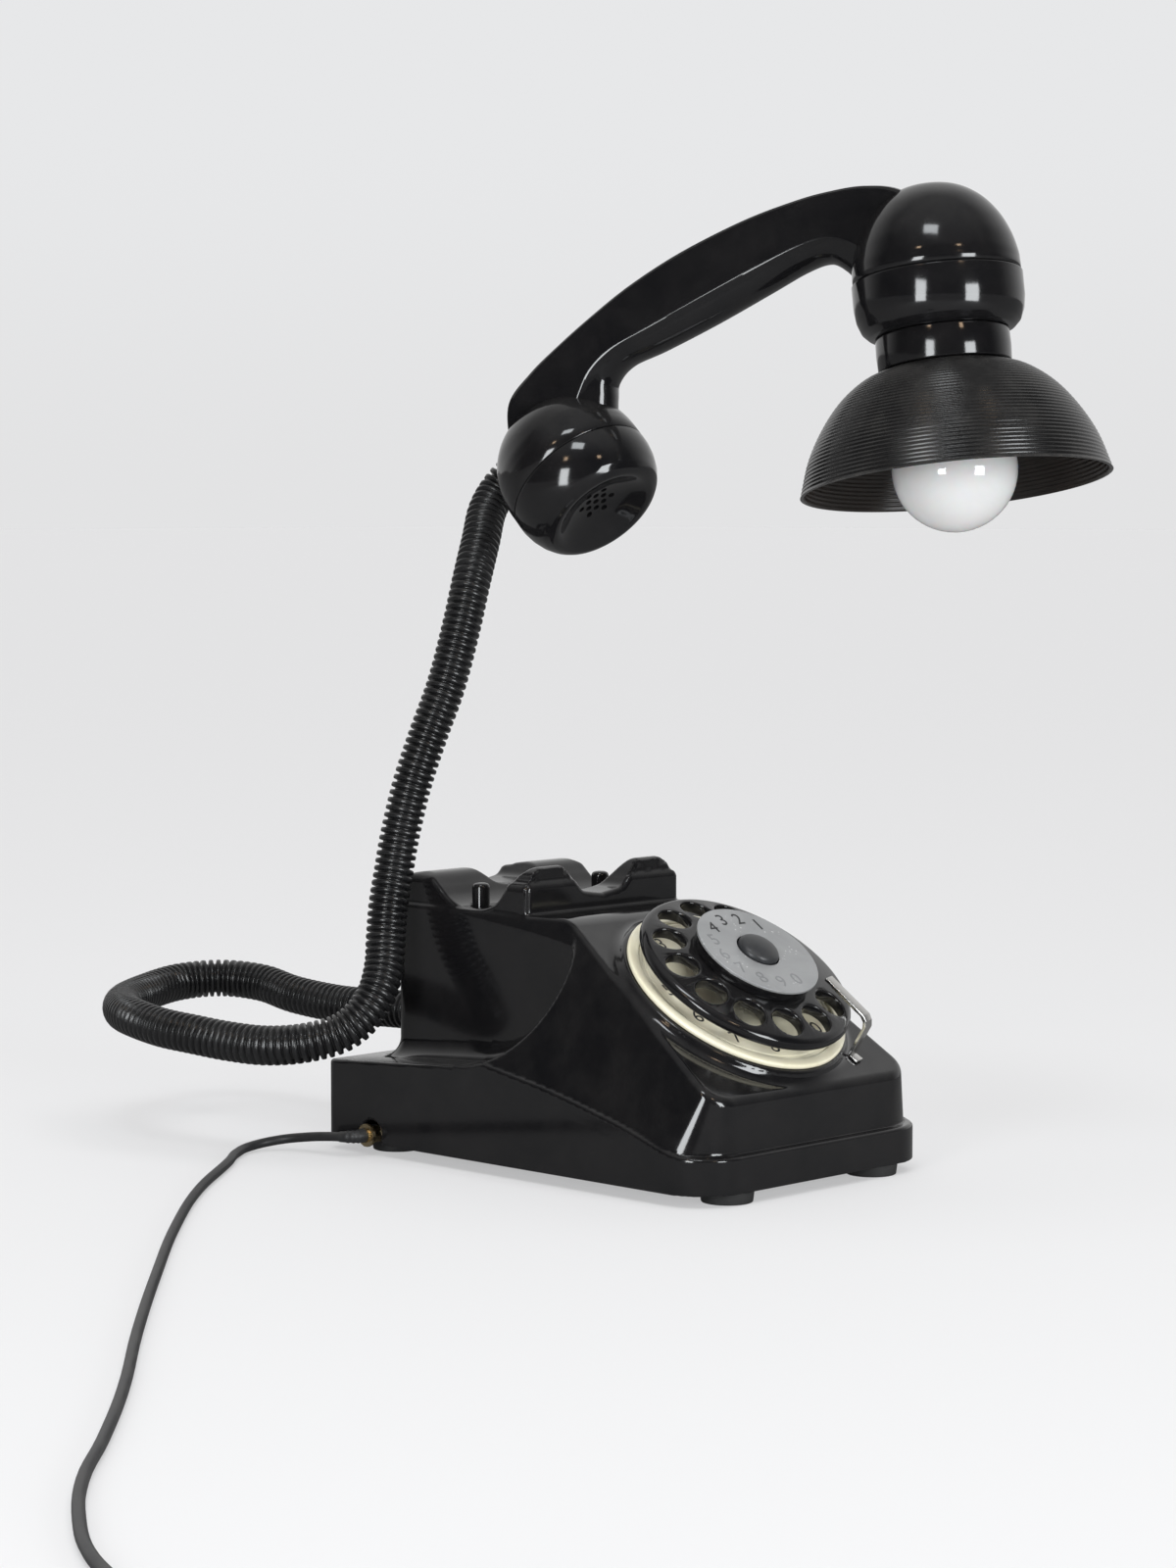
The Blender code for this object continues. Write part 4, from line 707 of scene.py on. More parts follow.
def buildHoleTree():   # round holes bored on an arc of a circle, straight through along Z
    tree, given, result = startGroup("boredHoles", "GeometryNodeTree",
                                     [("Geometry", "NodeSocketGeometry", None), ("Holes", "NodeSocketInt", 10),
                                      ("First Angle", "NodeSocketFloat", 0.0), ("Step Angle", "NodeSocketFloat", 0.5),
                                      ("Circle Radius", "NodeSocketFloat", 0.038),
                                      ("Hole Radius", "NodeSocketFloat", 0.0073),
                                      ("Height", "NodeSocketFloat", 0.0), ("Depth", "NodeSocketFloat", 0.02),
                                      ("Sides", "NodeSocketInt", 48), ("Finish", "NodeSocketMaterial", None)],
                                     [("Geometry", "NodeSocketGeometry")])
    row = addNode(tree, "GeometryNodeMeshLine", {"Count": given["Holes"]})
    index = addNode(tree, "GeometryNodeInputIndex").outputs[0]
    angle = addNode(tree, "ShaderNodeMath", {0: index, 1: given["Step Angle"], 2: given["First Angle"]},
                    operation="MULTIPLY_ADD").outputs[0]
    x = addNode(tree, "ShaderNodeMath", {0: addNode(tree, "ShaderNodeMath", {0: angle},
                                                    operation="COSINE").outputs[0],
                                         1: given["Circle Radius"]}, operation="MULTIPLY").outputs[0]
    y = addNode(tree, "ShaderNodeMath", {0: addNode(tree, "ShaderNodeMath", {0: angle}, operation="SINE").outputs[0],
                                         1: given["Circle Radius"]}, operation="MULTIPLY").outputs[0]
    spot = addNode(tree, "ShaderNodeCombineXYZ", {"X": x, "Y": y, "Z": given["Height"]}).outputs[0]
    placed = addNode(tree, "GeometryNodeSetPosition", {"Geometry": row.outputs["Mesh"], "Position": spot})
    drill = addNode(tree, "GeometryNodeMeshCylinder", {"Vertices": given["Sides"], "Radius": given["Hole Radius"],
                                                       "Depth": given["Depth"]})
    drills = addNode(tree, "GeometryNodeInstanceOnPoints",
                     {"Points": placed.outputs[0], "Instance": drill.outputs["Mesh"]})
    solid = addNode(tree, "GeometryNodeRealizeInstances", {"Geometry": drills.outputs[0]})
    bored = addNode(tree, "GeometryNodeMeshBoolean", operation="DIFFERENCE", solver="EXACT")
    tree.links.new(given["Geometry"], bored.inputs["Mesh 1"])
    tree.links.new(solid.outputs[0], bored.inputs["Mesh 2"])
    closeTree(tree, result, bored.outputs["Mesh"], given["Finish"])
    return tree


def buildScatterTree():   # one shape repeated on every point of a row
    tree, given, result = startGroup("repeatedOnPoints", "GeometryNodeTree",
                                     [("Geometry", "NodeSocketGeometry", None), ("Shape", "NodeSocketObject", None),
                                      ("Finish", "NodeSocketMaterial", None)], [("Geometry", "NodeSocketGeometry")])
    shape = addNode(tree, "GeometryNodeObjectInfo", {"Object": given["Shape"]})
    copies = addNode(tree, "GeometryNodeInstanceOnPoints",
                     {"Points": given["Geometry"], "Instance": shape.outputs["Geometry"]})
    closeTree(tree, result, copies.outputs[0], given["Finish"])
    return tree


def buildRingRibTree():   # raises saw-like ribs on a turned wall, by the rib phase kept on its points
    tree, given, result = startGroup("spunRibs", "GeometryNodeTree",
                                     [("Geometry", "NodeSocketGeometry", None),
                                      ("Rib Height", "NodeSocketFloat", 0.00025),
                                      ("Finish", "NodeSocketMaterial", None)], [("Geometry", "NodeSocketGeometry")])
    phase = addNode(tree, "GeometryNodeInputNamedAttribute", {"Name": "ribPhase"},
                    data_type="FLOAT").outputs["Attribute"]
    part = addNode(tree, "ShaderNodeMath", {0: phase}, operation="FRACT").outputs[0]
    wave = addNode(tree, "ShaderNodeMath", {0: addNode(tree, "ShaderNodeMath", {0: part, 1: 2 * math.pi},
                                                       operation="MULTIPLY").outputs[0]}, operation="SINE").outputs[0]
    raised = addNode(tree, "ShaderNodeMath", {0: wave, 1: given["Rib Height"]}, operation="MULTIPLY").outputs[0]
    strength = addNode(tree, "GeometryNodeInputNamedAttribute", {"Name": "ribStrength"},
                       data_type="FLOAT").outputs["Attribute"]
    amount = addNode(tree, "ShaderNodeMath", {0: raised, 1: strength}, operation="MULTIPLY").outputs[0]
    normal = addNode(tree, "GeometryNodeInputNormal").outputs["Normal"]
    push = addNode(tree, "ShaderNodeVectorMath", {0: normal, "Scale": amount}, operation="SCALE").outputs[0]
    moved = addNode(tree, "GeometryNodeSetPosition", {"Geometry": given["Geometry"], "Offset": push})
    closeTree(tree, result, moved.outputs[0], given["Finish"])
    return tree


hoseTree, holeTree, scatterTree, ribTree = buildHoseTree(), buildHoleTree(), buildScatterTree(), buildRingRibTree()
print("trees grown")


# housing: a distance field with rounded edges and coves, skinned, thinned, and given the field's own normals
housing = {"cell": 0.00115, "wall": 0.0030, "keep": 0.42, "edge": 0.0014,   # grid, thickness, faces kept, edges
           "half": 0.0740, "front": -0.1190, "rear": 0.1130, "corner": 0.0225, "skirtEdge": 0.0015,   # skirt
           "stepFront": -0.1150, "deck": 0.1112, "wedgeHalf": 0.0737, "wedgeRear": 0.1000,   # wedge of the dial's slope
           "slopeFoot": (-0.114, 0.0443), "slopeTop": -0.0147, "dialAlong": 0.0573, "pedestal": 0.0526,
           "pedestalTop": 0.0040,
           "towerHalf": 0.0500, "towerRear": 0.0930, "recessFront": -0.022, "arcMiddle": (0.030, 0.098),
           "arcRadius": 0.0520,
           "cradleHalf": 0.0487, "cradleFront": 0.0095, "cradleRear": 0.0920, "cradleFoot": 0.098,
           "dialHole": 0.0380, "plungerAt": (0.038, 0.049), "plungerHole": 0.0046, "hoseAt": (-0.012, 0.056),
           "hoseHole": 0.0093, "hoseBoss": 0.0132, "notchAt": (0.0825, 0.0098), "notchRadius": 0.0060,
           "underside": 0.0050}


def roundMax(a, b, r):   # intersection with its edge rounded to radius r
    return np.minimum(-r, np.maximum(a, b)) + np.hypot(np.maximum(r + a, 0), np.maximum(r + b, 0))


def roundMin(a, b, r):   # union with a fillet of radius r
    return -roundMax(-a, -b, r)


def planeOf(a, b, c, inside=(0.0, 0.0, 0.05)):
    a, b, c, inside = (np.array(p) for p in (a, b, c, inside))
    normal = np.cross(b - a, c - a)
    normal /= np.linalg.norm(normal)
    if np.dot(inside - a, normal) > 0:
        normal = -normal
    return lambda x, y, z: normal[0] * (x - a[0]) + normal[1] * (y - a[1]) + normal[2] * (z - a[2])


def heightOf(pairs, steps=8):   # reads a smooth height, and how steep it is, along one axis
    line = flowing([(p, h, 0.0) for p, h in pairs], steps)
    places, heights = np.array([p[0] for p in line]), np.array([p[1] for p in line])
    def read(v):
        height = np.interp(v, places, heights)
        slope = (np.interp(v + 0.0006, places, heights) - np.interp(v - 0.0006, places, heights)) / 0.0012
        return height, np.sqrt(1.0 + slope * slope)
    return read


skirtTop = heightOf([(-0.140, 0.0206), (-0.117, 0.0208), (-0.099, 0.0225), (-0.071, 0.0312), (-0.031, 0.0410),
                     (0.0, 0.0467),
                     (0.020, 0.0500), (0.060, 0.0560), (0.140, 0.0600)])
waveTop = heightOf([(-0.02, 0.1180), (0.0090, 0.1240), (0.0113, 0.1296), (0.0145, 0.1312), (0.0182, 0.1294),
                    (0.0222, 0.1240),
                    (0.0262, 0.1184), (0.0305, 0.1145), (0.0370, 0.1122), (0.0460, 0.1114), (0.0530, 0.1122),
                    (0.0600, 0.1152), (0.0660, 0.1202), (0.0715, 0.1245), (0.0770, 0.1256), (0.0840, 0.1248),
                    (0.0890, 0.1236), (0.1200, 0.1200)])
dipTop = heightOf([(-0.01, 0.1168), (0.0, 0.1176), (0.0075, 0.1186), (0.0125, 0.1198), (0.0160, 0.1230),
                   (0.0208, 0.1284), (0.0255, 0.1325),
                   (0.0310, 0.1340), (0.0370, 0.1322), (0.0430, 0.1282), (0.0465, 0.1245), (0.0600, 0.1180)])
slopePlane = planeOf((-0.05, -0.114, 0.0443), (0.05, -0.114, 0.0443), (0.0, -0.0147, 0.1112))
flankPlane = planeOf((0.0737, -0.093, 0.0240), (0.0737, 0.0, 0.0467), (0.0475, -0.0147, 0.1112))
rearFlank = planeOf((0.0737, 0.0, 0.0467), (0.0520, 0.093, 0.1112), (0.0475, -0.0147, 0.1112))


def roundedPlan(x, y, half, front, rear, frontRadius, rearRadius):
    r = np.where(y < 0, frontRadius, rearRadius)
    middle = (front + rear) / 2.0
    across, along = np.abs(x) - half + r, np.abs(y - middle) - (rear - front) / 2.0 + r
    return np.hypot(np.maximum(across, 0), np.maximum(along, 0)) + np.minimum(np.maximum(across, along), 0) - r


def ledgeOf(y):
    return 0.0460 - 0.0600 * (y - 0.020) / 0.97


def onSlope(y, z):   # up the slope from the dial's axis, and out of the slope
    y, z = y - housing["slopeFoot"][0], z - housing["slopeFoot"][1]
    return y * upSlope.y + z * upSlope.z - housing["dialAlong"], z * upSlope.y - y * upSlope.z


def bodyField(x, y, z, solid):   # the outside; with solid also the cradle, the boss and the flat underside
    wide = np.abs(x)
    top, steep = skirtTop(y)
    skirt = roundedPlan(x, y, housing["half"], housing["front"], housing["rear"], housing["corner"], 0.0060)
    skirt = roundMax(skirt, (z - top) / steep, housing["skirtEdge"])
    down = np.clip((y - housing["slopeTop"]) / -0.0993, 0.0, 1.0)
    flank = roundMax(flankPlane(wide, y, z), rearFlank(wide, y, z), 0.002)
    flank = roundMax(flank, wide - housing["wedgeHalf"], 0.0020)
    corner = housing["corner"] - 0.0125 * np.clip((z - 0.022) / 0.026, 0.0, 1.0)
    walls = roundMax(flank, housing["stepFront"] - y, corner)
    upper = roundMax(slopePlane(wide, y, z), z - housing["deck"], 0.0030)
    wedge = roundMax(walls, upper, 0.0018 + 0.0006 * down)
    wedge = np.maximum(wedge, y - housing["wedgeRear"])
    body = roundMin(skirt, wedge, 0.0004)

    ledge = (ledgeOf(y) - z) * 0.998
    arcY, arcZ = housing["arcMiddle"]
    arc = np.hypot(y - arcY, z - arcZ) - housing["arcRadius"]
    ahead = housing["recessFront"] - y
    cut = np.where(y >= arcY, ledge, np.where(z >= arcZ, ahead, np.maximum(arc, ahead)))
    tower = roundedPlan(x, y, housing["towerHalf"], -0.150, housing["towerRear"], 0.004, 0.007)
    cove = 0.0025 + 0.0060 * np.clip((0.105 - z) / 0.045, 0.0, 1.0)
    body = roundMax(body, roundMin(-cut, tower, cove), housing["edge"])

    u, w = onSlope(y, z)
    fromAxis = np.hypot(x, u)
    pedestal = roundMax(roundMax(fromAxis - housing["pedestal"], w - housing["pedestalTop"], 0.0010), -0.006 - w, 0.0)
    body = roundMin(body, pedestal, 0.0060)
    if not solid:
        return body
    wave, waveSteep = waveTop(y)
    dip, dipSteep = dipTop(wide)
    ends = np.maximum(housing["cradleFront"] - y, y - housing["cradleRear"])
    sides = roundMax(wide - housing["cradleHalf"], ends, 0.0030)
    cradle = roundMax(roundMax((z - wave) / waveSteep, (z - dip) / dipSteep, 0.0010), sides, 0.0022)
    cradle = np.maximum(cradle, housing["cradleFoot"] - z)
    body = roundMin(body, cradle, 0.0010)
    hoseX, hoseZ = housing["hoseAt"]
    boss = np.hypot(x - hoseX, z - hoseZ) - housing["hoseBoss"]
    boss = roundMax(boss, np.maximum(y - 0.1015, 0.085 - y), 0.0007)
    body = roundMin(body, boss, 0.0016)
    return roundMax(body, housing["underside"] - z, 0.0008)


def housingField(x, y, z):
    shell = np.maximum(bodyField(x, y, z, True), -(bodyField(x, y, z, False) + housing["wall"]))
    u, w = onSlope(y, z)
    dialHole = np.maximum(np.hypot(x, u) - housing["dialHole"], np.abs(w) - 0.020)
    plungerX, plungerY = housing["plungerAt"]
    plungerHole = np.maximum(np.hypot(np.abs(x) - plungerX, y - plungerY) - housing["plungerHole"], 0.09 - z)
    hoseX, hoseZ = housing["hoseAt"]
    hoseHole = np.maximum(np.hypot(x - hoseX, z - hoseZ) - housing["hoseHole"], 0.073 - y)
    notchY, notchZ = housing["notchAt"]
    notch = np.hypot(y - notchY, np.maximum(z - notchZ, 0)) - housing["notchRadius"]   # arched way out for the cord
    notch = np.maximum(notch, x + 0.064)
    for hole in (dialHole, plungerHole, hoseHole, notch):
        shell = roundMax(shell, -hole, 0.0005)
    return shell


def skinOf(field, low, cell):   # one point in each cell the surface crosses, joined by quads
    inside = field < 0
    corners = [np.array((a, b, c)) for a in (0, 1) for b in (0, 1) for c in (0, 1)]
    size = np.array(inside.shape) - 1
    total = sum(inside[c[0]:c[0] + size[0], c[1]:c[1] + size[1],
                       c[2]:c[2] + size[2]].astype(np.int8) for c in corners)
    cells = np.argwhere((total > 0) & (total < 8))
    values = np.stack([field[tuple((cells + c).T)] for c in corners], 1)
    place, count = np.zeros((len(cells), 3)), np.zeros(len(cells))
    for p in range(8):
        for q in range(p + 1, 8):
            if np.abs(corners[p] - corners[q]).sum() == 1:
                crossed = (values[:, p] < 0) != (values[:, q] < 0)
                gap = np.where(crossed, values[:, p] - values[:, q], 1.0)
                part = np.where(crossed, values[:, p] / gap, 0.0)
                place += crossed[:, None] * (corners[p] + part[:, None] * (corners[q] - corners[p]))
                count += crossed
    points = np.array(low) + (cells + place / count[:, None]) * cell
    index = np.full(tuple(size), -1)
    index[tuple(cells.T)] = np.arange(len(cells))
    quads = []
    for axis in range(3):
        change = np.diff(inside.astype(np.int8), axis=axis)
        one, two = np.eye(3, dtype=int)[(axis + 1) % 3], np.eye(3, dtype=int)[(axis + 2) % 3]
        spots = np.argwhere(change != 0)
        ring = np.stack([index[tuple((spots + o).T)] for o in (-one - two, -two, 0 * one, -one)], 1)
        outward = change[tuple(spots.T)] < 0
        ring[~outward] = ring[~outward][:, ::-1]
        quads.append(ring)
    return points, np.concatenate(quads)


def slopeOf(points, reach=0.00012):
    read = lambda shift: housingField(*(points + shift).T)
    return np.stack([(read(o) - read(-o)) / (2 * reach) for o in np.eye(3) * reach], 1)


def settled(points, rounds):   # moves points on to the surface itself
    for _ in range(rounds):
        height = housingField(*points.T)
        slope = slopeOf(points)
        step = -height[:, None] * slope / np.maximum((slope ** 2).sum(1), 0.25)[:, None]
        length = np.linalg.norm(step, axis=1)[:, None]
        points = points + step * np.minimum(1.0, 0.0006 / np.maximum(length, 1e-9))
    return points


def buildHousing():
    low, high, cell = (-0.0780, -0.1230, 0.0015), (0.0780, 0.1180, 0.1380), housing["cell"]
    axes = [np.arange(a, b, cell) for a, b in zip(low, high)]
    grid = np.meshgrid(*axes, indexing="ij")
    points, quads = skinOf(housingField(*grid), low, cell)
    points = settled(points, 2)
    mesh = bpy.data.meshes.new("housingShell")
    mesh.from_pydata(points, [], quads)
    thing = helperOf("housingShell", mesh)
    thin = thing.modifiers.new("thinned", "DECIMATE")
    thin.ratio = housing["keep"]
    mesh = bakedMesh(thing)
    flat = np.empty(len(mesh.vertices) * 3)
    mesh.vertices.foreach_get("co", flat)
    points = settled(flat.reshape(-1, 3), 2)
    normals = slopeOf(points)
    normals /= np.maximum(np.linalg.norm(normals, axis=1), 1e-6)[:, None]
    points = points + np.array(frameShift)
    mesh.vertices.foreach_set("co", points.ravel())
    mesh.shade_smooth()
    mesh.update()
    piece = keepPiece("housingShell", mesh, "base", bakelite, ("housing",))
    piece.data.normals_split_custom_set_from_vertices(normals.tolist())
    return piece


buildHousing()

feet = {"spots": [(-0.0465, -0.1065), (0.0465, -0.1065), (-0.0530, 0.0880), (0.0530, 0.0880)]}
screws = {"spots": [(-0.058, -0.083), (0.058, -0.083), (-0.058, 0.106), (0.058, 0.106)]}


def buildOnPoints(name, shapeMesh, spots, finish, replaced):
    row = bpy.data.meshes.new(name + "Row")
    row.from_pydata([frameShift + Vector((x, y, 0.0)) for x, y in spots], [], [])
    thing, shape = helperOf(name + "Row", row), helperOf(name + "Shape", shapeMesh)
    runTree(thing, scatterTree, Shape=shape, Finish=finish)
    mesh = bakedMesh(thing)
    bpy.data.objects.remove(shape)
    return keepPiece(name, mesh, "base", None, replaced, 50)


corners = ["front_left", "front_right", "rear_left", "rear_right"]
footLine = softened([(0.0, 0.0012), (0.0040, 0.0012), (0.0052, 0.0), (0.0109, 0.0), (0.0115, 0.0049),
                     (0.0, 0.0049)], 0.0006, 4)
buildOnPoints("rubberFeet", latheMesh("footShape", footLine, None, 48), feet["spots"], footRubber,
              ["foot_" + c for c in corners])
screwLine = softened([(0.0, 0.0030), (0.0030, 0.0030), (0.0034, 0.0036), (0.0034, 0.0049), (0.0015, 0.0049),
                      (0.0015, 0.0155), (0.0, 0.0155)], 0.0003, 2)
screwMesh = latheMesh("screwShape", screwLine, None, 24)
slotCut = helperOf("slotCut", meshOf("slotCut", [(x, y, z) for x in (-0.0026, 0.0026) for y in (-0.0004, 0.0004)
                                                 for z in (0.0020, 0.0038)],
                                     [(0, 1, 3, 2), (4, 6, 7, 5), (0, 4, 5, 1), (2, 3, 7, 6), (0, 2, 6, 4),
                                      (1, 5, 7, 3)]))
screwBody = helperOf("screwBody", screwMesh)
slit = screwBody.modifiers.new("slot", "BOOLEAN")
slit.operation, slit.solver, slit.object = "DIFFERENCE", "EXACT", slotCut
screwMesh = bakedMesh(screwBody)
bpy.data.objects.remove(slotCut)
buildOnPoints("baseScrews", screwMesh, screws["spots"], plainSteel, ["base_screw_" + c for c in corners])
print("housing standing on its feet")


# dial
dial = {"plateRadius": 0.0460, "ringRadius": 0.0515, "ringTop": 0.0068, "bottom": 0.0043, "firstHole": 62.0,
        "holeStep": 27.5,
        "holeCircle": 0.0380, "holeRadius": 0.0073, "digitRadius": 0.0213, "digitSize": 0.0098,
        "firstDigit": 47.0, "digitStep": 26.5, "plateDigitSize": 0.0100}


def digitMesh(text, size, place, thickness):
    words = bpy.data.curves.new("digit" + text, "FONT")
    words.body = text
    words.size = size
    words.align_x, words.align_y = "CENTER", "CENTER"
    words.extrude = thickness / 2.0
    thing = helperOf("digit" + text, words)
    mesh = bpy.data.meshes.new_from_object(thing.evaluated_get(bpy.context.evaluated_depsgraph_get()))
    bpy.data.objects.remove(thing)
    mesh.transform(place)
    return mesh


def joined(name, meshes):
    shape = bmesh.new()
    for mesh in meshes:
        shape.from_mesh(mesh)
    bmesh.ops.remove_doubles(shape, verts=shape.verts, dist=1e-7)
    whole = bpy.data.meshes.new(name)
    shape.to_mesh(whole)
    shape.free()
    return whole


def digitRing(name, radius, first, step, size, height, body, finish, picked=range(10)):
    meshes = []
    for k in picked:
        angle = math.radians(first + step * k)
        spot = Matrix.Translation((radius * math.cos(angle), radius * math.sin(angle), height))
        meshes.append(digitMesh(str((k + 1) % 10), size, dialPlace @ spot, 0.00012))
    return keepPiece(name, joined(name, meshes), body, finish)


def buildDial():
    ring = [(dial["plateRadius"] + 0.0003, dial["bottom"]), (dial["ringRadius"], dial["bottom"]),
            (dial["ringRadius"], dial["ringTop"]), (dial["plateRadius"] + 0.0003, dial["ringTop"])]
    latheSteps("creamRing", ring, dialPlace, creamPlastic, "base", ("dial_ring",), 160, 0.0011)
    plate = [(0.0060, 0.0043), (0.0460, 0.0043), (0.0460, 0.0056), (0.0448, 0.0056), (0.0444, 0.0053),
             (0.0438, 0.0053),
             (0.0434, 0.0056), (0.0060, 0.0056)]
    latheSteps("creamPlate", plate, dialPlace, creamPlastic, "base", ("number_plate",), 160, 0.0002)
    digitRing("plateDigits", dial["holeCircle"] + 0.0002, dial["firstHole"], dial["holeStep"], dial["plateDigitSize"],
              0.00562, "base", printInk)

    wheel = [(0.0, 0.0160), (0.0290, 0.0160), (0.0380, 0.0146), (0.0465, 0.0126), (0.0492, 0.0127), (0.0497, 0.0145),
             (0.0494, 0.0163), (0.0478, 0.0178), (0.0385, 0.0198), (0.0290, 0.0214), (0.0, 0.0214)]
    blank = helperOf("wheelBlank", latheMesh("wheelBlank", softened(wheel, 0.0012, 5), None, 144))
    runTree(blank, holeTree, Holes=10, **{"First Angle": math.radians(dial["firstHole"]), "Sides": 56, "Depth": 0.02,
                                         "Step Angle": math.radians(dial["holeStep"]), "Height": 0.017,
                                         "Circle Radius": dial["holeCircle"], "Hole Radius": dial["holeRadius"],
                                         "Finish": bakelite})
    mesh = bakedMesh(blank)
    edge = helperOf("wheelEdge", mesh)
    bevel = edge.modifiers.new("finger", "BEVEL")
    bevel.width, bevel.segments, bevel.limit_method, bevel.angle_limit = 0.0008, 3, "ANGLE", math.radians(50)
    bevel.use_clamp_overlap = False
    mesh = bakedMesh(edge)
    mesh.transform(dialPlace)
    keepPiece("fingerWheel", mesh, "dial_wheel", bakelite, ("finger_wheel",), 42)

    hub = [(0.0, 0.0215), (0.0272, 0.0215), (0.0272, 0.0262), (0.0100, 0.0262), (0.0100, 0.0228), (0.0, 0.0228)]
    latheSteps("wheelHub", hub, dialPlace, bakelite, "dial_wheel", ("wheel_hub",), 128, 0.0006)
    disc = [(0.0100, 0.0265), (0.0285, 0.0265), (0.0285, 0.0277), (0.0100, 0.0277)]
    latheSteps("greyNumberDisc", disc, dialPlace, greyDisc, "dial_wheel", ("number_disc",), 128, 0.0003)
    digitRing("discDigits", dial["digitRadius"], dial["firstDigit"], dial["digitStep"], dial["digitSize"], 0.02773,
              "dial_wheel", printInk, range(4))
    digitRing("rubbedDigits", dial["digitRadius"], dial["firstDigit"], dial["digitStep"], dial["digitSize"], 0.02773,
              "dial_wheel", rubbedInk, range(4, 10))
    knob = [(0.0, 0.0252), (0.0094, 0.0252), (0.0094, 0.0284), (0.0090, 0.0294), (0.0080, 0.0303), (0.0062, 0.0310),
            (0.0040, 0.0315), (0.0, 0.0317)]
    latheSteps("centreKnob", knob, dialPlace, darkKnob, "dial_button", ("centre_knob",), 72, 0.0009)
    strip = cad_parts["finger_stop"].data.copy()
    shape = bmesh.new()
    shape.from_mesh(strip)
    bmesh.ops.remove_doubles(shape, verts=shape.verts, dist=0.000002)
    bmesh.ops.dissolve_limit(shape, angle_limit=math.radians(2), verts=shape.verts, edges=shape.edges)
    shape.to_mesh(strip)
    shape.free()
    edge = helperOf("stopEdge", strip)
    bevel = edge.modifiers.new("rounded", "BEVEL")
    bevel.width, bevel.segments, bevel.limit_method, bevel.angle_limit = 0.0003, 3, "ANGLE", math.radians(20)
    keepPiece("fingerStop", bakedMesh(edge), "base", brightSteel, ("finger_stop",), 40)


buildDial()
print("dial set")


# cradle plungers
def buildPlungers():
    rod = [(0.0, 0.0815), (0.0040, 0.0815), (0.0040, 0.1000), (0.0062, 0.1000), (0.0062, 0.1030), (0.0040, 0.1030),
           (0.0040, 0.1202), (0.0034, 0.1214), (0.0020, 0.1219), (0.0, 0.1220)]
    for body, side in (("plunger_left", -1), ("plunger_right", 1)):
        place = Matrix.Translation(frameShift + Vector((side * 0.038, 0.049, 0.0)))
        latheSteps("rod_" + body, rod, place, bakelite, body, (body,), 48, 0.0005)


buildPlungers()

# corrugated gooseneck, made in four lengths
hose = {"radius": 0.0089, "groove": 0.0069, "pitch": 0.00335, "sides": 24}
hoseLoop = [
    (-0.012, 0.0860, 0.0560), (-0.012, 0.1090, 0.0560), (-0.014, 0.135, 0.0555), (-0.0175, 0.165, 0.0550),
    (-0.0195, 0.195, 0.0570), (-0.0195, 0.219, 0.0605), (-0.029, 0.238, 0.0620), (-0.048, 0.247, 0.0610),
    (-0.073, 0.241, 0.0590), (-0.098, 0.226, 0.0580), (-0.116, 0.205, 0.0575), (-0.1255, 0.184, 0.0570),
    (-0.1275, 0.163, 0.0550), (-0.1250, 0.1435, 0.0535), (-0.1205, 0.1254, 0.0518), (-0.1150, 0.1065, 0.0512),
    (-0.1067, 0.0905, 0.0530), (-0.0957, 0.0791, 0.0572),
]
hoseRise = [
    (-0.0872, 0.0738, 0.0645), (-0.0798, 0.0720, 0.0745), (-0.0737, 0.0740, 0.0860), (-0.0702, 0.0766, 0.0980),
    (-0.0668, 0.0784, 0.1125), (-0.0625, 0.0795, 0.1270), (-0.0584, 0.0797, 0.1430), (-0.0522, 0.0785, 0.1650),
    (-0.0441, 0.0765, 0.1868),
]
hoseReach = [
    (-0.0344, 0.0749, 0.2090), (-0.0250, 0.0751, 0.2340), (-0.0165, 0.0768, 0.2560), (-0.0058, 0.0820, 0.2730),
    (0.0030, 0.0870, 0.2860), (0.0110, 0.0880, 0.2955), (0.0160, 0.0835, 0.3030),
]


def hoseLength(name, line, replaced, bends):
    path = bpy.data.curves.new(name + "Path", "CURVE")
    path.dimensions = "3D"
    spline = path.splines.new("POLY")
    spline.points.add(len(line) - 1)
    for knot, point in zip(spline.points, line):
        knot.co = (*point, 1.0)
    thing = helperOf(name + "Path", path)
    runTree(thing, hoseTree, **{"Ring Pitch": hose["pitch"], "Ring Radius": hose["radius"],
                                "Groove Radius": hose["groove"], "Sides": hose["sides"], "Finish": hoseBlack})
    mesh = bakedMesh(thing)
    mesh.name = name
    piece = helperOf(name, mesh)
    if replaced:
        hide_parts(replaced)
    if len(bends) > 1:
        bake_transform(piece)
    else:
        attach(piece, *bends)
    return piece


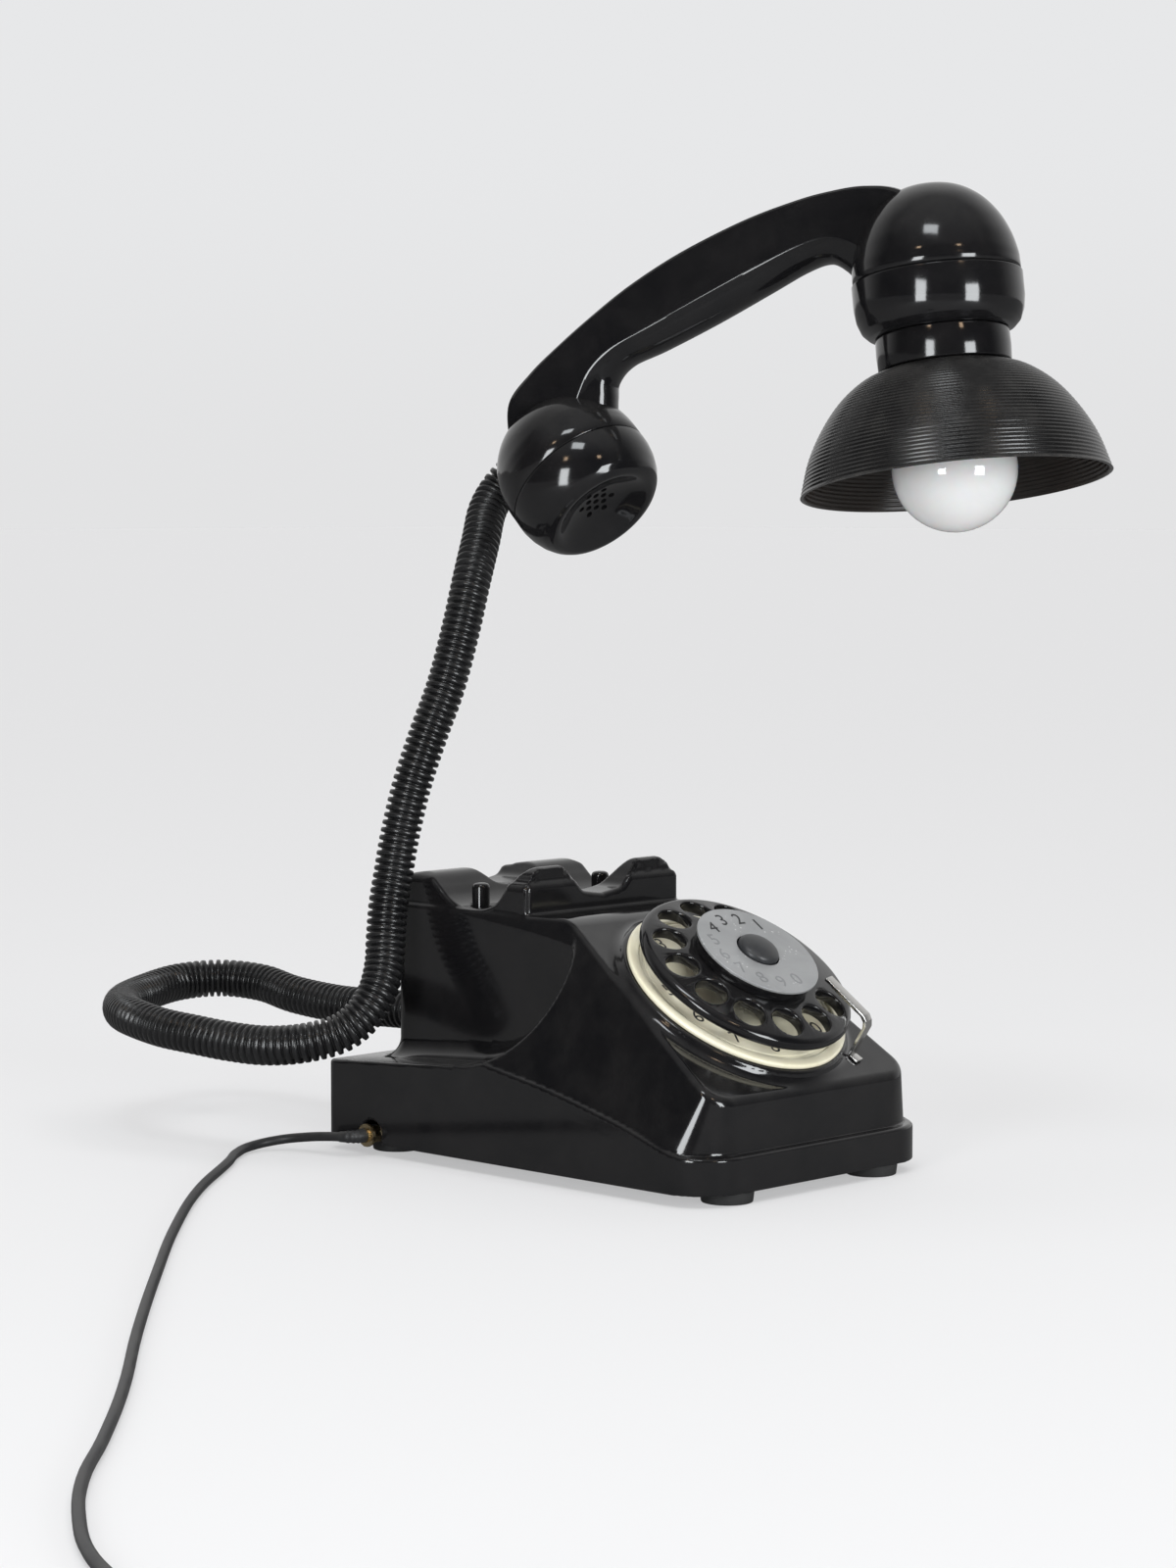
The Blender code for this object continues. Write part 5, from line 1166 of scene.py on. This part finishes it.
def buildGooseneck():
    socketEnd = mouthMiddle + (nodPivot - mouthMiddle).normalized() * 0.040
    line = [frameShift + Vector(p) for p in hoseLoop + hoseRise + hoseReach]
    line = [Vector(p) for p in flowing(line + [socketEnd.lerp(nodPivot, 0.5), socketEnd], 10)]
    travelled = [0.0]
    for a, b in zip(line, line[1:]):
        travelled.append(travelled[-1] + (b - a).length)
    near = lambda spot: min(range(len(line)), key=lambda i: (line[i] - spot).length)
    loopMiddle = near(frameShift + Vector((-0.1255, 0.1840, 0.0570)))
    riseMiddle = near(frameShift + Vector((-0.0668, 0.0784, 0.1125)))
    reachMiddle = near(frameShift + Vector((-0.0250, 0.0751, 0.2340)))

    def beside(spot, reach):   # the two points of the line that far before and after its nearest point to spot
        middle = travelled[near(spot)]
        at = lambda goal: line[min(range(len(line)), key=lambda i: abs(travelled[i] - goal))]
        return at(middle - reach), at(middle + reach)

    hoseLength("hoseLoop", line[:loopMiddle + 1], "hose_loop", ("base",))   # stays put on the base
    hoseLength("hoseLower", line[loopMiddle:riseMiddle + 1], None, ("base", "hose_rise", *beside(swingPivot, 0.030)))
    hoseLength("hoseMiddle", line[riseMiddle:reachMiddle + 1], "hose_rise",
               ("hose_rise", "hose_reach", *beside(leanPivot, 0.035)))
    hoseLength("hoseUpper", line[reachMiddle:], "hose_reach", ("hose_reach", "handset", *beside(nodPivot, 0.016)))
    grip = lambda angle, radius, height: 1.0 - (0.035 * (0.5 - 0.5 * math.cos(24 * angle)) if radius > 0.0112 else 0.0)
    nut = [(0.0091, 0.0), (0.0122, 0.0), (0.0122, 0.0070), (0.0091, 0.0070)]
    rear = turnedTo(frameShift + Vector((-0.012, 0.1018, 0.0560)), (0, 1, 0))
    latheSteps("hoseNutRear", nut, rear, satinBlack, "base", ("hose_nut_rear",), 144, 0.0007, 40, grip)
    upper = [(0.0, 0.0373), (0.0118, 0.0373), (0.0118, 0.0450), (0.0104, 0.0472), (0.0, 0.0472)]
    latheSteps("hoseNutUpper", upper, socketPlace, satinBlack, "handset", ("hose_nut_upper",), 144,
               0.0007, 40, grip)


buildGooseneck()
print("gooseneck bent")


# handset: the handle, its two bowls and what screws on to them
def handleMesh():
    stations = [
        ((-0.0200, 0.0200), (0.0190, 0.0020), 0.0130), ((-0.0125, 0.0375), (0.0270, 0.0110), 0.0135),
        ((0.0020, 0.0455), (0.0315, 0.0200), 0.0130), ((0.0190, 0.0510), (0.0350, 0.0265), 0.0125),
        ((0.0380, 0.0560), (0.0440, 0.0300), 0.0120), ((0.0600, 0.0605), (0.0610, 0.0292), 0.0118),
        ((0.0870, 0.0630), (0.0870, 0.0292), 0.0118), ((0.1180, 0.0625), (0.1140, 0.0303), 0.0118),
        ((0.1420, 0.0595), (0.1330, 0.0312), 0.0122), ((0.1580, 0.0560), (0.1440, 0.0295), 0.0127),
        ((0.1740, 0.0505), (0.1495, 0.0230), 0.0133), ((0.1880, 0.0410), (0.1540, 0.0120), 0.0138),
        ((0.1960, 0.0240), (0.1620, 0.0010), 0.0138),
    ]
    backs = flowing([(b[0], 0.0, b[1]) for b, u, h in stations], 9)
    unders = flowing([(u[0], h, u[1]) for b, u, h in stations], 9)
    section = [(-0.80, 0.0), (0.80, 0.0), (0.93, 0.012), (1.0, 0.045), (1.0, 0.08), (1.0, 0.40), (1.0, 0.645),
               (1.0, 0.67),
               (0.985, 0.69), (0.955, 0.70)]
    for i in range(1, 12):
        a = math.pi * i / 12
        section.append((0.90 * math.cos(a), 0.72 + 0.28 * math.sin(a)))
    section += [(-0.955, 0.70), (-0.985, 0.69), (-1.0, 0.67), (-1.0, 0.645), (-1.0, 0.40), (-1.0, 0.08),
                (-1.0, 0.045),
                (-0.93, 0.012)]
    sides = len(section)
    points = []
    for back, under in zip(backs, unders):
        for across, depth in section:
            points.append((back[0] + (under[0] - back[0]) * depth, across * under[1],
                           back[2] + (under[2] - back[2]) * depth))
    count = len(backs)
    faces = [[i * sides + k, i * sides + (k + 1) % sides, (i + 1) * sides + (k + 1) % sides, (i + 1) * sides + k]
             for i in range(count - 1) for k in range(sides)]
    faces += [list(range(sides)), list(range((count - 1) * sides, count * sides))]
    return meshOf("handsetHandle", points, faces, handsetPlace)


def bowlLine(points, steps=8):
    return [(max(0.0, p[0]), p[1]) for p in flowing([(r, z, 0.0) for r, z in points], steps)]


def buildHandset():
    keepPiece("handsetHandle", handleMesh(), "handset", bakelite, (), 32)
    dome = bowlLine([(0.0338, 0.0000), (0.0335, 0.0040), (0.0322, 0.0100), (0.0285, 0.0185), (0.0220, 0.0260),
                     (0.0130, 0.0312), (0.0, 0.0330)])
    dome[-1] = (0.0, dome[-1][1])
    bowl = [(0.0, 0.0140), (0.0255, 0.0140), (0.0300, 0.0050), (0.0300, -0.0064), (0.0334, -0.0064),
            (0.0338, -0.0060)] + dome
    keepPiece("mouthBowl", latheMesh("mouthBowl", bowl, mouthPlace, 128), "handset", bakelite,
              ("handset_shell",), 50)
    dome = bowlLine([(0.0362, 0.0060), (0.0358, 0.0110), (0.0335, 0.0195), (0.0290, 0.0285), (0.0220, 0.0365),
                     (0.0125, 0.0420), (0.0, 0.0440)])
    dome[-1] = (0.0, dome[-1][1])
    bowl = [(0.0, 0.0240), (0.0250, 0.0240), (0.0320, 0.0120), (0.0320, 0.0031), (0.0358, 0.0031),
            (0.0362, 0.0035)] + dome
    keepPiece("earBowl", latheMesh("earBowl", bowl, earPlace, 128), "handset", bakelite, (), 50)
    socket = [(0.0, 0.0250), (0.0150, 0.0250), (0.0135, 0.0330), (0.0125, 0.0345), (0.0125, 0.0371), (0.0, 0.0371)]
    latheSteps("hoseSocket", socket, socketPlace, bakelite, "handset", (), 72, 0.0008)

    face = [
        (0.0, -0.0165), (0.0150, -0.0165), (0.0200, -0.0205), (0.0295, -0.0205), (0.0295, -0.0068), (0.0336, -0.0068),
        (0.0339, -0.0072), (0.0338, -0.0110), (0.0330, -0.0155), (0.0314, -0.0200), (0.0292, -0.0238),
        (0.0268, -0.0262),
        (0.0245, -0.0271), (0.0224, -0.0267), (0.0200, -0.0252), (0.0165, -0.0229), (0.0120, -0.0210),
        (0.0060, -0.0199),
        (0.0, -0.0196),
    ]
    blank = helperOf("capBlank", latheMesh("capBlank", softened(face, 0.0009, 4), None, 128))
    for count, circle, turn in ((1, 0.0, 0.0), (6, 0.0044, 0.0), (6, 0.0076, math.pi / 6)):
        runTree(blank, holeTree, **{"Holes": count, "First Angle": turn, "Step Angle": math.pi / 3,
                                    "Circle Radius": circle,
                                    "Hole Radius": 0.0014, "Height": -0.0190, "Depth": 0.010, "Sides": 20,
                                    "Finish": bakelite})
    mesh = bakedMesh(blank)
    mesh.transform(mouthPlace)
    keepPiece("mouthpieceCap", mesh, "handset", bakelite, ("mouthpiece_cap",), 42)

    cap = [(0.0205, -0.0215), (0.0205, -0.0120), (0.0315, -0.0060), (0.0315, 0.0027), (0.0364, 0.0027),
           (0.0368, 0.0023),
           (0.0368, -0.0080), (0.0360, -0.0135), (0.0342, -0.0180), (0.0315, -0.0207), (0.0290, -0.0215)]
    latheSteps("earpieceCap", cap, earPlace, bakelite, "handset", ("earpiece_cap",), 144, 0.0006)
    collar = [(0.0205, -0.0217), (0.0205, -0.0360), (0.0286, -0.0360), (0.0290, -0.0290), (0.0288, -0.0217)]
    latheSteps("shadeCollar", collar, earPlace, bakelite, "handset", ("shade_collar",), 144, 0.0007)


buildHandset()
print("handset hung")


# lamp: holder, shade, ring and bulb
shade = {"wall": 0.0014, "ribs": 36, "ribHeight": 0.00017,
         "outside": [(0.0272, -0.0363), (0.0365, -0.0400), (0.0465, -0.0478), (0.0550, -0.0585), (0.0620, -0.0715),
                     (0.0665, -0.0860)]}


def buildShade():
    outer = [Vector((p[0], p[1])) for p in flowing([(r, z, 0.0) for r, z in shade["outside"]], 48)]
    lengths = [0.0]
    for a, b in zip(outer, outer[1:]):
        lengths.append(lengths[-1] + (b - a).length)
    inner = []
    for i, here in enumerate(outer):
        ahead = (outer[min(i + 1, len(outer) - 1)] - outer[max(i - 1, 0)]).normalized()
        inner.append(here + Vector((ahead.y, -ahead.x)) * shade["wall"])
    phases = [(here, shade["ribs"] * s / lengths[-1], 1.0) for here, s in zip(outer, lengths)]
    rim = [(outer[-1] + Vector((0.0004, -0.0007)), 0.0, 0.0), (outer[-1] + Vector((-0.0010, -0.0009)), 0.0, 0.0)]
    back = [(here, shade["ribs"] * s / lengths[-1], -0.6) for here,
            s in zip(reversed(inner[4:]), reversed(lengths[4:]))]
    collar = [(Vector((0.0262, -0.0377)), 0.0, 0.0), (Vector((0.0204, -0.0377)), 0.0, 0.0),
              (Vector((0.0204, -0.0363)), 0.0, 0.0)]
    line = phases + rim + back + collar
    sides = 144
    mesh = bpy.data.meshes.new("lampShade")
    points = [(p.x * math.cos(a), p.x * math.sin(a), p.y) for p, _, _ in line
              for a in (2.0 * math.pi * k / sides for k in range(sides))]
    count = len(line)
    faces = [[i * sides + k, ((i + 1) % count) * sides + k, ((i + 1) % count) * sides + (k + 1) % sides,
              i * sides + (k + 1) % sides] for i in range(count) for k in range(sides)]
    mesh.from_pydata(points, [], faces)
    shape = bmesh.new()
    shape.from_mesh(mesh)
    bmesh.ops.recalc_face_normals(shape, faces=shape.faces)
    shape.to_mesh(mesh)
    shape.free()
    for name, index in (("ribPhase", 1), ("ribStrength", 2)):
        values = mesh.attributes.new(name, "FLOAT", "POINT")
        values.data.foreach_set("value", [row[index] for row in line for k in range(sides)])
    blank = helperOf("shadeBlank", mesh)
    runTree(blank, ribTree, **{"Rib Height": shade["ribHeight"], "Finish": shadeOutside})
    made = bakedMesh(blank)
    for name in ("ribPhase", "ribStrength"):
        made.attributes.remove(made.attributes[name])
    made.materials.clear()
    made.materials.append(shadeOutside)
    made.materials.append(shadeInside)
    insideFrom = len(phases) + 1
    for face in made.polygons:
        if min(face.vertices) // sides >= insideFrom:
            face.material_index = 1
    made.transform(earPlace)
    piece = keepPiece("lampShade", made, "handset", None, ("lamp_shade",), 60)
    return piece


def buildLamp():
    buildShade()
    holder = [
        (0.0, -0.0040), (0.0150, -0.0040), (0.0200, -0.0080), (0.0200, -0.0420), (0.0162, -0.0420), (0.0150, -0.0412),
        (0.0150, -0.0110), (0.0, -0.0110),
    ]
    latheSteps("bulbHolder", holder, earPlace, deepBlack, "handset", ("lampholder",), 96, 0.0005)
    grip = lambda angle, radius, height: 1.0 - (0.02 * (0.5 - 0.5 * math.cos(30 * angle)) if radius > 0.0235 else 0.0)
    ring = [(0.0204, -0.0380), (0.0250, -0.0380), (0.0250, -0.0410), (0.0240, -0.0420), (0.0204, -0.0420)]
    latheSteps("shadeRing", ring, earPlace, satinBlack, "handset", ("shade_ring",), 180, 0.0004, 40,
               grip)
    thread = [(0.0, -0.0140), (0.0050, -0.0140), (0.0090, -0.0165)]
    for k in range(7):
        top = -0.0180 - 0.0030 * k
        thread += [(0.0126, top), (0.0132, top - 0.0008), (0.0132, top - 0.0014), (0.0126, top - 0.0022)]
    thread += [(0.0128, -0.0400), (0.0132, -0.0417), (0.0, -0.0417)]
    latheSteps("bulbThread", thread, earPlace, drawnAluminium, "lamp_bulb", ("bulb_cap",), 72, 0.0003)
    glass = [(0.0136, -0.0420), (0.0139, -0.0440), (0.0152, -0.0480), (0.0180, -0.0538), (0.0212, -0.0605)]
    dome = [(0.0270 * math.cos(math.radians(a)), -0.0800 + 0.0270 * math.sin(math.radians(a))) for a in range(32,
                                                                                                              -90,
                                                                                                              -6)]
    line = [(0.0, -0.0420)] + bowlLine(glass, 6) + dome + [(0.0, -0.1070)]
    keepPiece("opalBulb", latheMesh("opalBulb", line, earPlace, 96), "lamp_bulb", opalGlass,
              ("bulb",), 60)


buildLamp()
print("lamp fitted")


# what stays as the CAD has it
keptNodes = {
    "base_plate": zincedPlate, "ballast_weight": castIron, "terminal_block": paleBlock, "cord_clamp": plainSteel,
    "cord_gland": oldBrass, "dial_mechanism": zincedPlate, "dial_shaft": plainSteel, "hook_lever": plainSteel,
    "hook_bracket": zincedPlate, "contact_stack": satinBlack, "transmitter_capsule": drawnAluminium,
}
for node, finish in keptNodes.items():
    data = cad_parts[node].data
    data.materials.clear()
    data.materials.append(finish)
print("inner pieces painted")
